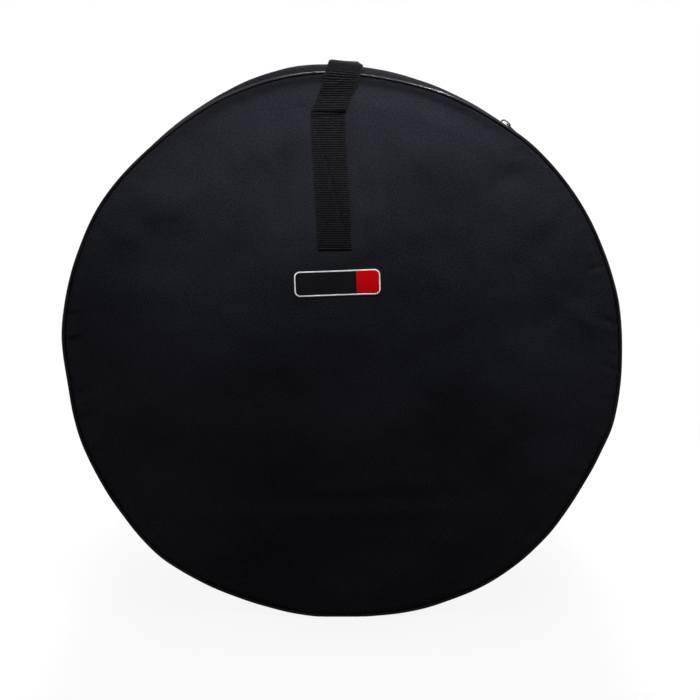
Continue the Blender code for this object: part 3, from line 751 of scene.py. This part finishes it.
def cover(name, side, cells, listed, hills, seed):
    """Outer fabric of a round face: cloth swells over the foam, then takes its folds and hollows."""
    piece, rim = panel(name, side, 0, COVER_EDGE, cells, FABRIC_FINISH)
    simulate(piece, rim, 1.2, 0.006)
    subdivided(piece)
    apply_modifiers(piece)
    points = coordinates(piece.data)
    angle, radius = polar(points)
    x, z = points[:, 0], points[:, 2]
    radius = radius - np.interp(angle, EDGE_PLACES, EDGE_REACH, period=360) * (side < 0) * (radius / RIM) ** 3
    height = puckers(angle, radius, COVER_EDGE, listed, 24, seed) - rolled_in(angle, radius, COVER_EDGE)
    height += swells(points * (1, 0, 1), hills, seed) + 0.00012 * grain(points, 95, seed + 2)
    if side < 0:
        height -= 0.0008 * in_strap(x, z, 0.004) + 0.0005 * in_patch(x, z, 0.003)
    points[:, 1] += side * height
    set_coordinates(piece.data, points)
    wear_attribute(piece, 0.35 * bump(radius - COVER_EDGE + 0.007, 0.003))
    thicken(piece, FABRIC)
    return piece


def inner_layer(name, side, sink, edge, finish, thickness, height_of):
    """A layer under a cover, raised by what height_of gives at its points."""
    piece = panel(name, side, sink, edge, 96, finish)[0]
    points = coordinates(piece.data)
    points[:, 1] += side * height_of(points)
    set_coordinates(piece.data, points)
    subdivided(piece)
    thicken(piece, thickness)
    return piece


def lining_height(points, hills, seed):
    """The lining follows the swells, hangs a little slack and puckers at its seam."""
    angle, radius = polar(points)
    height = puckers(angle, radius, LINING_EDGE, [], 60, seed + 1) * 0.8
    slack = 0.0009 * grain(points, 11, seed + 2) + 0.0004 * grain(points, 31, seed + 3)
    height += slack * (1 - smooth((radius - 0.2732) / 0.02))
    return swells(points * (1, 0, 1), hills, seed) - np.abs(height)


REAR_FOLDS = [
    ((197 * k + 23) % 360, 18 + 7 * (k % 5), 4 + k % 4, (1.2, -1.4, 0.9, -1.0)[k % 4]) for k in range(18)
]
REAR_HILLS = [
    (110 + 137 * k % 460, 120 + 211 * k % 440, 50 + 9 * (k % 4), 18 + 3 * (k % 3), 37 * k, (1.2, -1.1)[k % 2])
    for k in range(16)
]
front_cover = cover("front_cover", -1, 96, PUCKERS, SWELLS, 3)
settle(front_cover, "lid", "outer_fabric", "front_panel")
rear_cover = cover("rear_cover", 1, 80, REAR_FOLDS, REAR_HILLS, 11)
settle(rear_cover, "shell", "outer_fabric", "rear_panel")

for word, side, body, seed, hills in (("front", -1, "lid", 3, SWELLS), ("rear", 1, "shell", 11, REAR_HILLS)):
    foam = inner_layer(
        f"{word}_foam", side, FACE_DEPTHS["foam"], FOAM_EDGE, FOAM_FINISH, 0.0040,
        lambda points: swells(points * (1, 0, 1), hills, seed),
    )
    settle(foam, body, "foam", f"{word}_padding")
    inner = inner_layer(
        f"{word}_inner_lining", side, FACE_DEPTHS["lining"], LINING_EDGE, LINING_FINISH, 0.0008,
        lambda points: lining_height(points, hills, seed),
    )
    settle(inner, body, "lining", f"{word}_lining")


# Wall


def wall_line(y0, y1, sink, count):
    y = np.linspace(y0, y1, count)
    return np.stack([y, wall_radius(y) - sink], -1)


def layer(y, rise, sink):
    """Closed outline over these places, between a rise above the wall's line and a depth below it."""
    outer, inner = wall_radius(y) + rise, wall_radius(y) - sink
    return np.concatenate([np.stack([y, outer], -1), np.stack([y, inner], -1)[::-1]])


def wall_cover():
    """Outer fabric of the wall: held at the rear seam and at the zip, swollen and creased between."""
    angles = np.linspace(0, 360, 300, endpoint=False)
    y = np.linspace(ZIP_Y + ZIP_GAP, WALL_END, 56)
    points = place(angles[:, None], wall_radius(y) - 0.0006, y)
    sheet = facing(grid("wall_start", points, girth(angles), y, FABRIC_FINISH, loop_u=True), (0, 0, 1))
    held = [i * len(y) + j for i in range(len(angles)) for j in (0, 1, len(y) - 2, len(y) - 1)]
    simulate(sheet, held, 1.0, 0.004)
    points = finer(finer(coordinates(sheet.data).reshape(points.shape), 0, True), 1, False)
    bpy.data.objects.remove(sheet, do_unlink=True)
    angles = np.linspace(0, 360, len(points), endpoint=False)
    y = finer(y[:, None], 0, False)[:, 0]
    turn = np.radians(angles)[:, None]
    flat = np.stack(np.broadcast_arrays(np.cos(turn), np.sin(turn), y * 5.2), -1)
    inside = np.minimum((y - y[0]) / 0.03, (y[-1] - y) / 0.03)
    calm = smooth(inside)
    folds = 0.0014 * grain(flat * (2.2, 2.2, 0.9), 1.6, 31) + 0.0010 * grain(flat * (1.0, 1.0, 2.4), 3.2, 32)
    creases = 0.0011 * (1 - np.abs(grain(flat * (1.6, 1.6, 1.1), 2.4, 33)) * 3).clip(0, 1) ** 2
    top = bump(wrapped(angles)[:, None], 9)
    height = (folds - 0.5 * creases) * calm * (1 - 0.9 * top) - 0.0006 * top * calm
    height += 0.00035 * grain(flat * (9, 9, 0.3), 3.0, 34) * bump(inside - 0.25, 0.25)
    points += height[..., None] * radial(points)
    points[..., 2] = np.maximum(points[..., 2], 0.0004)
    inner_y = np.linspace(y[-1], y[0], 14)
    inner = np.array([sampled(inner_y, y, row) for row in points])
    inner -= radial(inner) * FABRIC
    inner[..., 2] = np.maximum(inner[..., 2], 0.0014)
    v = np.concatenate([y, inner_y + 0.5, [inner_y[-1] + 0.5]])
    whole = np.concatenate([points, inner], 1)
    piece = outward(grid("wall_fabric", whole, girth(angles), v, FABRIC_FINISH, True, True, sharp=60))
    wear = np.concatenate([bump(y - y[0], 0.004) * 0.6 + bump(y - y[-1], 0.005) * 0.4, np.zeros(14)])
    wear_attribute(piece, np.tile(wear, len(points)))
    return piece


wall = settle(wall_cover(), "shell", "outer_fabric", "gusset_fabric")

outer_side = wall_line(FOAM_START, 0.2350, FOAM_DEPTHS[0], 24)
profile = np.concatenate([outer_side, wall_line(0.2280, FOAM_START, FOAM_DEPTHS[1], 24)])
wall_foam = lathe("wall_foam", profile, FOAM_FINISH, steps=180, sharp=60)
settle(wall_foam, "shell", "foam", "gusset_padding")

# The lining turns up at the front and covers the foam's edge
lip = wall_line(LINING_START, -0.1969, 0.0016, 2)
outer_side = wall_line(-0.1969, 0.2288, LINING_DEPTHS[0], 50)
profile = np.concatenate([lip, outer_side, wall_line(0.2288, LINING_START, LINING_DEPTHS[1], 50)])
wall_lining = lathe("wall_inner_lining", profile, LINING_FINISH, steps=300, ripple=0.0006, seed=41, sharp=60)
settle(wall_lining, "shell", "lining", "gusset_lining")


# Zip


profile = layer(np.linspace(-WALL_END, ZIP_Y - ZIP_GAP, 9), 0, FABRIC)
collar = lathe("collar_fabric", profile, FABRIC_FINISH, steps=480, ripple=0.00025, seed=51, sharp=60)
settle(collar, "lid", "outer_fabric", "lid_collar")

ZIP_HALVES = (("lid", -1, "lid"), ("body", 1, "shell"))
for word, side, body in ZIP_HALVES:
    near, far = sorted((ZIP_Y + side * 0.001, ZIP_Y + side * 0.0148))
    profile = layer(np.linspace(near, far, 5), -0.0013, 0.0021)
    tape = lathe(f"{word}_tape", profile, TAPE_FINISH, ZIP_DEG, 360 - ZIP_DEG, 420, sharp=60)
    settle(tape, body, "zip_tape", f"{word}_zip_tape")


def teeth(name, side, pitch=0.0018, radius=0.307):
    """The moulded coil: one bar a turn, its head past the middle of the chain."""
    first, last = COIL_DEG, 360 - COIL_DEG
    count = int(math.radians(last - first) * radius / pitch)
    middles = first + (np.arange(count) + (0.25 if side < 0 else 0.75)) * (last - first) / count
    reach = np.array([[3.9], [3.0], [1.0], [-0.1], [-0.7]]) / 1000
    wide = np.array([[0.30], [0.42], [0.36], [0.42], [0.24]]) / 1000
    tall = np.array([[0.60], [0.90], [0.72], [0.90], [0.55]]) / 1000
    turn = np.radians(np.arange(6) * 60 + 30)
    angle = middles[:, None, None] + np.degrees(wide * np.cos(turn) / radius)
    return studs(name, place(angle, COIL_RADIUS + tall * np.sin(turn), ZIP_Y + side * reach), COIL_FINISH)


for word, side, body in ZIP_HALVES:
    settle(teeth(f"{word}_coil_teeth", side), body, "zip_coil", f"{word}_zip_coil")
for word, side, body in ZIP_HALVES:
    turn = np.radians(np.arange(8) * 45)
    y = ZIP_Y + side * 0.0030 + 0.0006 * np.cos(turn)
    profile = np.stack([y, COIL_RADIUS + 0.0006 * np.sin(turn)], -1)
    core = lathe(f"{word}_coil_core", profile, THREAD_FINISH, COIL_DEG, 360 - COIL_DEG, 420)
    settle(core, body, "zip_coil")
for word, side, body in reversed(ZIP_HALVES):
    y = ZIP_Y + side * 0.0090
    path = ring_path(y, wall_radius(y) + 0.0001)
    settle(stitches(f"{word}_zip_stitching", [path], THREAD_FINISH), body, "zip_tape")

y = np.linspace(ZIP_Y - 0.0066, ZIP_Y + 0.0066, 15)
profile = layer(y, 0.0004 * bump(y - ZIP_Y, 0.003), FABRIC)
hinge = lathe(
    "hinge_fabric", profile, FABRIC_FINISH, -HINGE_DEG, HINGE_DEG, 90, ripple=0.0002, seed=61, sharp=60
)
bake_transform(hinge)
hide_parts("hinge_panel")

for word, start, stitched in (("right", HINGE_DEG - TAB_DEG, 30), ("left", -HINGE_DEG, -30)):
    y = np.linspace(-0.0060, 0.0060, 13)
    rise = 0.0014 * smooth((0.0060 - np.abs(y)) / 0.0012 + 0.2)
    profile = layer(ZIP_Y + y, rise, -0.0001)
    tab = lathe(f"zip_tab_{word}", profile, FABRIC_FINISH, start, start + TAB_DEG, 16, sharp=60)
    settle(tab, "shell", "outer_fabric", f"zip_end_tab_{word}")
    across = np.linspace(ZIP_Y - 0.0048, ZIP_Y + 0.0048, 20)
    path = place(stitched, wall_radius(across) + 0.0015, across)
    rows = [(path, radial(path))]
    ends = start + 0.4, start + TAB_DEG - 0.4
    rows += [ring_path(ZIP_Y + y, 0.3085, *ends, 20) for y in (-0.0046, 0.0046)]
    thread = stitches(f"zip_tab_{word}_stitching", rows, THREAD_FINISH, 0.0028, 0.002, 0.0003)
    settle(thread, "shell", "outer_fabric")

for name in ("zip_slider", "zip_pull", "zip_stop_right", "zip_stop_left"):
    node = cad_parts[name]
    node.data.materials.clear()
    node.data.materials.append(METAL_FINISH)
    bevel = node.modifiers.new("Bevel", "BEVEL")
    bevel.width = 0.00022
    bevel.segments = 2
    bevel.limit_method = "ANGLE"
    bevel.angle_limit = math.radians(30)


# Piped seams


def seam_point(side, depth, off):
    """Place by the depth in a seam's flange, which leans in at 45 degrees, and the distance off it."""
    return side * (HALF - (depth + off) / math.sqrt(2)), RIM - (depth - off) / math.sqrt(2)


def piping(name, side, seed):
    """Corded vinyl bead, a little uneven, with a hand-made join."""
    turn = np.radians(np.arange(14) * 360 / 14)
    angles = np.linspace(0, 360, 720, endpoint=False)
    around = np.radians(angles)
    thick = 0.0019 + 0.00008 * np.sin(around * 37 + np.radians(seed)) * np.sin(around * 11)
    thick -= 0.0007 * bump(wrapped(angles), 40) + 0.0005 * bump(wrapped(angles - 354), 0.3)
    wave = 0.0003 * np.sin(around * 9 + np.radians(40 * seed))
    wave += 0.0002 * np.sin(around * 23 + np.radians(seed))
    thick, wave = thick[:, None], wave[:, None]
    radius = RIM + 0.0010 + wave * 0.5 + thick * np.sin(turn)
    y = side * (HALF + 0.0004 + wave * 0.4 + thick * np.cos(turn))
    points = place(angles[:, None], radius, y, 0.0001)
    return outward(grid(name, points, girth(angles), np.arange(15) * 0.00085, VINYL_FINISH, True, True))


# Outline of the folded binding: depth in the flange and distance off it
BINDING = ((0.0160, 0.0014), (0.0175, 0.0015), (0.0199, 0.0014), (0.0206, 0.0008))
BINDING += tuple((depth, -off) for depth, off in reversed(BINDING))
for word, side, body, seed in (("front", -1, "lid", 3), ("rear", 1, "shell", 8)):
    settle(piping(f"{word}_bead", side, seed), body, "piping_vinyl", f"{word}_piping")
    profile = [seam_point(side, *corner) for corner in BINDING]
    tape = lathe(f"{word}_binding", profile, BINDING_FINISH, steps=480, ripple=0.0003, seed=71, sharp=60)
    settle(tape, body, "zip_tape", f"{word}_seam_binding")
    path = ring_path(*seam_point(side, 0.0178, -0.0017))
    settle(stitches(f"{word}_binding_stitching", [path], THREAD_FINISH), body, "zip_tape")


# Webbing


def surface_of(piece):
    mesh = piece.data
    return BVHTree.FromPolygons([v.co for v in mesh.vertices], [list(p.vertices) for p in mesh.polygons])


FACES = {-1: surface_of(front_cover), 1: surface_of(rear_cover)}
# How far the loose webbing stands out from the bag's middle, and how far in from there it lies level
STRAP_OUT = 0.2455
STRAP_TURN = 0.0321


def face_at(side, x, z):
    """How far out the fabric stands at points of the front or rear face."""
    out = np.empty(x.size)
    for k, (a, b) in enumerate(zip(x.ravel(), z.ravel())):
        hit = FACES[side].ray_cast(Vector((a, side, b)), Vector((0, -side, 0)))[0]
        out[k] = hit.y * side if hit else HALF
    return out.reshape(x.shape)


def strap_route():
    """The strap seen from the side, as (y, z): up the front face, over the top and down the rear."""
    low, high, rim = CENTRE + STRAP_FOOT[1], CENTRE + STRAP_HEAD[1], CENTRE + RIM
    up = [(STRAP_OUT, low + (high - low) * s) for s in np.linspace(0, 1, 20)]
    up += [(STRAP_OUT - 0.0004 * s, high + (rim - high) * s) for s in np.linspace(0, 1, 12)[1:]]
    for a in np.radians(np.linspace(0, 90, 24)[1:]):
        up.append((STRAP_OUT - 0.0004 - STRAP_TURN * (1 - math.cos(a)), rim + (TOP - rim) * math.sin(a)))
    over = [(y, TOP) for y in np.linspace(ZIP_Y, -ZIP_Y, 60)[1:-1]]
    return np.array([(-y, z) for y, z in up] + over + up[::-1])


def fold_at(past, rise, level, fall, drop):
    """How far the webbing stands out at a length past its last stitch, as a share."""
    return smooth(past / rise) * (1 - drop * smooth((past - level) / fall)) * (past < 0.05)


def strap():
    """The strap's row lengths, mesh points, places across, middle layer, outward directions, rear start."""
    route = strap_route()
    lengths = along(route)
    rows = np.arange(0, lengths[-1], ROW)
    y, z = sampled(rows, lengths, route).T
    rear_start = rows[-1] - STRAP_SEWN
    free = RIM - STRAP_HEAD[1] + 0.036
    lean = np.sin(np.pi / 2 * np.clip((rows - STRAP_SEWN) / (free * 0.92), 0, 1))
    sewn_x = STRAP_FOOT[0] + (STRAP_HEAD[0] - STRAP_FOOT[0]) * rows / STRAP_SEWN
    x = np.where(rows < STRAP_SEWN, sewn_x, STRAP_HEAD[0] + (0.0055 - STRAP_HEAD[0]) * lean)
    normal = np.stack([0 * y, -np.gradient(z), np.gradient(y)], -1)
    normal = np.stack([softened(column, 9) for column in normal.T], -1)
    normal /= np.linalg.norm(normal, axis=1, keepdims=True)

    # Across the rows: the folds, the ribs, the hems, and the tilt and wave of the stretch on top
    share = COLUMNS
    fold = fold_at(rows - STRAP_SEWN, 0.004, 0.004, 0.016, 0.85)[:, None]
    fold_back = fold_at(rear_start - rows, 0.0045, 0.006, 0.03, 0.8)[:, None]
    bulge = fold * (0.0029 + 0.0013 * share) + fold_back * 0.0024
    rib = 0.00045 * np.sin(np.pi * (rows / ROW) / RIB)[:, None] ** 2 * (1 - 0.5 * np.abs(share) ** 8)
    half = STRAP_THICKNESS / 2 * (1 - 0.45 * smooth((np.abs(share) - 0.86) / 0.14))
    hem = 0.0005 * (smooth((0.014 - rows) / 0.006) + smooth((0.014 - (rows[-1] - rows)) / 0.006))[:, None]
    high = smooth((z - CENTRE - RIM + 0.012) / 0.02) * smooth((0.235 - y) / 0.05)
    level = -0.0022 * high[:, None] * share + (0.0007 * np.sin(y * 31) * (np.abs(y) < 0.19))[:, None]
    base = np.stack([x, y, z], -1)[:, None, :] + share[:, None] * (STRAP_WIDTH / 2, 0, 0)
    base = base + normal[:, None, :] * bulge[..., None]
    base[..., 2] += level

    # The sewn ends lie on the face, pressed in along their stitches
    dent, loose = 0, 0.034
    for side, start in ((-1, 0), (1, rear_start)):
        stop = start + STRAP_SEWN
        t = np.clip((rows - start) / STRAP_SEWN, 0, 1)[:, None]
        inside = ((rows >= start + 0.004) & (rows <= stop - 0.004))[:, None]
        for line in (1.72 * t - 0.86, 0.86 - 1.72 * t):
            dent = dent + bump((share - line) * STRAP_WIDTH / 2, 0.0016) * inside
        for line in (start + 0.003, stop - 0.003):
            dent = dent + bump(rows - line, 0.0010)[:, None]
        on = (rows >= start - loose) & (rows <= stop + loose)
        held = smooth(np.minimum(rows - start, stop - rows)[on] / loose + 1)[:, None]
        stand = face_at(side, base[on][..., 0], base[on][..., 2]) + STRAP_THICKNESS / 2 + 0.0002
        base[on, :, 1] = base[on, :, 1] * (1 - held) + side * (stand + bulge[on]) * held
    rib = rib * (1 - 0.8 * np.minimum(dent, 1))
    top = base + normal[:, None, :] * (half + rib + hem - 0.0007 * dent)[..., None]
    bottom = base - normal[:, None, :] * (half + rib)[..., None]
    v = np.concatenate([share, 2.2 + share, [3.4]]) * STRAP_WIDTH / 2
    return rows, np.concatenate([top, bottom[:, ::-1]], 1), v, base, normal, rear_start


rows, ring, strap_v, strap_base, strap_normal, REAR_START = strap()


def row_at(y):
    """Row of the strap on top of the bag at this y."""
    middle = strap_base[:, len(COLUMNS) // 2]
    high = middle[:, 2] > CENTRE + RIM + 0.004
    return int(np.argmin(np.abs(middle[:, 1] - y) + np.where(high, 0, 1)))


# Stretches of the strap that bend: the bodies that they join, and from where to where along the bag
STRAP_BENDS = (
    ("strap_hinge", "lid", "shell", -0.2240, -0.2080),
    ("strap_front_ramp", "shell", "handle", -0.2080, -0.110),
    ("strap_rear_ramp", "handle", "shell", 0.110, 0.200),
)
cuts = sorted({y for bend in STRAP_BENDS for y in bend[3:]})
cuts = [0, *(row_at(y) for y in cuts), len(rows) - 1]
names = ("strap_front", "strap_hinge", "strap_front_ramp", "strap_grip", "strap_rear_ramp", "strap_rear")
strap_pieces = {}
for name, first, last in zip(names, cuts, cuts[1:]):
    part = slice(first, last + 1)
    piece = grid(name, ring[part], rows[part], strap_v, WEBBING_FINISH, loop_v=True, caps=True, sharp=50)
    wear_attribute(piece, np.tile(0.8 * np.abs(np.append(COLUMNS, COLUMNS)) ** 24, last + 1 - first))
    strap_pieces[name] = outward(piece)
settle(strap_pieces["strap_front"], "lid", "webbing", "front_strap", "front_strap_rise")
settle(strap_pieces["strap_grip"], "handle", "webbing", "handle_span")
settle(strap_pieces["strap_rear"], "shell", "webbing", "rear_strap", "rear_strap_rise")
for name, a, b, start, end in STRAP_BENDS:
    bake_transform(strap_pieces[name])
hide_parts("handle_front_end")


def strap_path(start, end, count=60):
    """Stitch line on the strap between two (row length, share across) places."""
    at, share = np.linspace(start, end, count).T
    index = np.clip((at / ROW).astype(int), 0, len(rows) - 1)
    path = [sampled(s, COLUMNS, ring[i, : len(COLUMNS)]) for i, s in zip(index, share)]
    return np.array(path), strap_normal[index]


for name, start, body in (("front", 0, "lid"), ("rear", REAR_START, "shell")):
    low, high = start + 0.003, start + STRAP_SEWN - 0.003
    lines = [((low, -0.88), (low, 0.88)), ((high, -0.88), (high, 0.88))]
    lines += [((low, -0.86), (high, 0.86)), ((high, -0.86), (low, 0.86))]
    paths = [strap_path(*ends) for ends in lines]
    thread = stitches(f"{name}_strap_stitching", paths, THREAD_FINISH, 0.0036, 0.0021, 0.00055)
    settle(thread, body, "webbing")


# Patch


def patch_point(a, b, rise):
    c, s = math.cos(PATCH_TILT), math.sin(PATCH_TILT)
    x = PATCH_PLACE[0] + a * c - b * s
    z = CENTRE + PATCH_PLACE[1] + a * s + b * c
    return np.stack([x, -(face_at(-1, x, z) + rise), z], -1)


def half_width(b, inset):
    """Half width of the patch, less an inset, at height b above its middle."""
    corner = PATCH_CORNER - inset
    over = np.clip(np.abs(b) - (PATCH_SIZE[1] / 2 - PATCH_CORNER), 0, corner)
    return PATCH_SIZE[0] / 2 - inset - corner + np.sqrt(corner**2 - over**2)


def patch_sheet(name, inset, low, high, rise, finish, thickness, columns, lines=25):
    """A flat field of the patch between two places across it, its corners following the outline."""
    reach = PATCH_SIZE[1] / 2 - inset
    b = reach * np.sin(np.linspace(-np.pi / 2, np.pi / 2, lines))[:, None]
    half = half_width(b, inset)
    left, right = np.maximum(-half, low), np.minimum(half, high)
    a, b = np.broadcast_arrays(left + (right - left) * np.linspace(0, 1, columns), b)
    edge = np.minimum(np.minimum(a - left, right - a), reach - np.abs(b))
    points = patch_point(a, b, rise - 0.0003 * bump(edge, 0.0005))
    i, j = quads(lines, columns)
    uv = np.stack([a[i, j], b[i, j]], -1).swapaxes(0, 1)
    piece = make(name, points, (i * columns + j).T.tolist(), uv, finish, 180)
    facing(piece, (0, -1, 0), len(piece.data.polygons) // 2)
    thicken(piece, thickness)
    return piece


def patch_outline(inset, count=400):
    corner = PATCH_CORNER - inset
    wide, tall = (size / 2 - inset - corner for size in PATCH_SIZE)
    points = []
    for cx, cy, start in ((wide, tall, 0), (-wide, tall, 90), (-wide, -tall, 180), (wide, -tall, 270)):
        for turn in np.radians(np.linspace(start, start + 90, 16)):
            points.append((cx + corner * math.cos(turn), cy + corner * math.sin(turn)))
    points = np.array(points + points[:1])
    reach = along(points)
    places = np.linspace(0, reach[-1], count, endpoint=False)
    return sampled(places, reach, points), places


def patch_ring(name, inset, width, rise, height, finish):
    """A raised band of satin stitch round the patch."""
    line, places = patch_outline(inset)
    ahead = np.roll(line, -1, 0) - np.roll(line, 1, 0)
    out = unit(np.stack([ahead[:, 1], -ahead[:, 0]], -1))
    turn = np.linspace(0, np.pi, 7)
    offsets = np.concatenate([np.cos(turn) * width / 2, [-width / 2, width / 2]])
    heights = np.concatenate([rise + np.sin(turn) * height, [rise - 0.0004, rise - 0.0004]])
    spots = line[:, None, :] + out[:, None, :] * offsets[:, None]
    ridge = 0.00004 * np.sin(places * 2 * np.pi / 0.0011)[:, None] * np.append(np.sin(turn), [0, 0])
    points = patch_point(spots[..., 0], spots[..., 1], heights + ridge)
    u = np.append(places, places[-1] + places[1])
    return outward(grid(name, points, u, np.append(offsets, offsets[0]), finish, True, True, sharp=70))


backing = patch_sheet("patch_backing", 0.0002, -1, 1, 0.0009, PATCH_FINISH, 0.0010, 60)
settle(backing, "lid", "patch", "label_patch")
for piece in (
    patch_ring("patch_rim", 0.0006, 0.0013, 0.0005, 0.0007, PATCH_FINISH),
    patch_ring("patch_border", 0.0021, 0.0015, 0.0008, 0.00055, WHITE_FINISH),
    patch_sheet("patch_dark_field", 0.0028, -1, PATCH_SPLIT, 0.00115, FIELD_FINISH, 0.0005, 50),
    patch_sheet("patch_red_field", 0.0028, PATCH_SPLIT, 1, 0.00120, RED_FINISH, 0.0005, 30),
):
    settle(piece, "lid", "patch")


# Stage, light and camera


def floor_finish():
    """Pale floor that keeps the object's shadow and goes over into the white background."""
    f = Finish("pale_floor", 0.9, 0.0)
    seen = f.background_share()
    f.colour(seen, (0.25, 0.25, 0.25), (0.97, 0.97, 0.97))
    away = f.node("ShaderNodeVectorMath", "Value", f.space(), operation="LENGTH")
    share = f.math("MULTIPLY", f.ramp(away, 0.5, 1.1, 0.88, 1.0), seen)
    glow = f.node("ShaderNodeEmission", Strength=1.0)
    mixed = f.node("ShaderNodeMixShader", 0, share, f.shader.outputs["BSDF"], glow)
    f.put(f.tree.nodes["Material Output"].inputs["Surface"], mixed)
    return f.done()


data = bmesh.new()
bmesh.ops.create_grid(data, x_segments=8, y_segments=8, size=8)
floor_mesh = bpy.data.meshes.new("floor")
data.to_mesh(floor_mesh)
data.free()
floor_mesh.materials.append(floor_finish())
floor = added("floor", floor_mesh)
floor.location = (0, 0, -0.0005)

world = bpy.data.worlds.new("soft_world")
bpy.context.scene.world = world
world.use_nodes = True
sky = Nodes(world.node_tree)
background = sky.tree.nodes["Background"]
background.inputs["Color"].default_value = (1, 1, 1, 1)
sky.put(background.inputs["Strength"], sky.ramp(sky.background_share(), 0, 1, 0.54, 1.0))


def lamp(name, at, towards, size, power, spread, roll=0):
    light = bpy.data.lights.new(name, "AREA")
    light.shape = "RECTANGLE"
    light.size, light.size_y = size
    light.energy = power
    light.spread = math.radians(spread)
    made = added(name, light)
    made.location = at
    turn = (Vector(towards) - Vector(at)).to_track_quat("-Z", "Y") @ Quaternion((0, 0, 1), math.radians(roll))
    made.rotation_euler = turn.to_euler()


lamp("key", (0.1, -1.5, 1.75), (0.1, -0.24, 0.573), (2.4, 0.15), 2.75, 17.5, -8)
lamp("right", (0.6, -1.5, 1.7), (0.15, -0.24, 0.59), (0.6, 0.1), 0.45, 9)
lamp("rear", (0.1, 1.5, 1.75), (0.1, 0.24, 0.59), (2.4, 0.15), 3.0, 17.5)
lamp("back", (0, 1.7, 0.9), (0, 0.24, 0.33), (1.2, 0.8), 8, 120)
for side in (-1, 1):
    lamp("side", (side * 1.7, 0.3, 0.55), (side * 0.3, 0.0, 0.36), (0.8, 0.8), 8, 120)

camera_data = bpy.data.cameras.new("camera")
camera_data.sensor_width = 36
camera_data.lens = FOCAL * camera_data.sensor_width / FRAME_PIXELS
camera_data.clip_start, camera_data.clip_end = 0.01, 100
camera = added("camera", camera_data)
bpy.context.scene.camera = camera
target = Vector((0, -HALF, CENTRE))
back = Vector((0, -math.cos(ELEVATION), math.sin(ELEVATION)))
up = Vector((0, math.sin(ELEVATION), math.cos(ELEVATION)))
pixel = DISTANCE / FOCAL
middle = FRAME_PIXELS / 2
aim = target + Vector((middle - MIDDLE[0], 0, 0)) * pixel - up * (middle - MIDDLE[1]) * pixel
camera.location = target + back * DISTANCE
camera.rotation_euler = (aim - camera.location).to_track_quat("-Z", "Y").to_euler()

bpy.context.scene.view_settings.view_transform = "Standard"
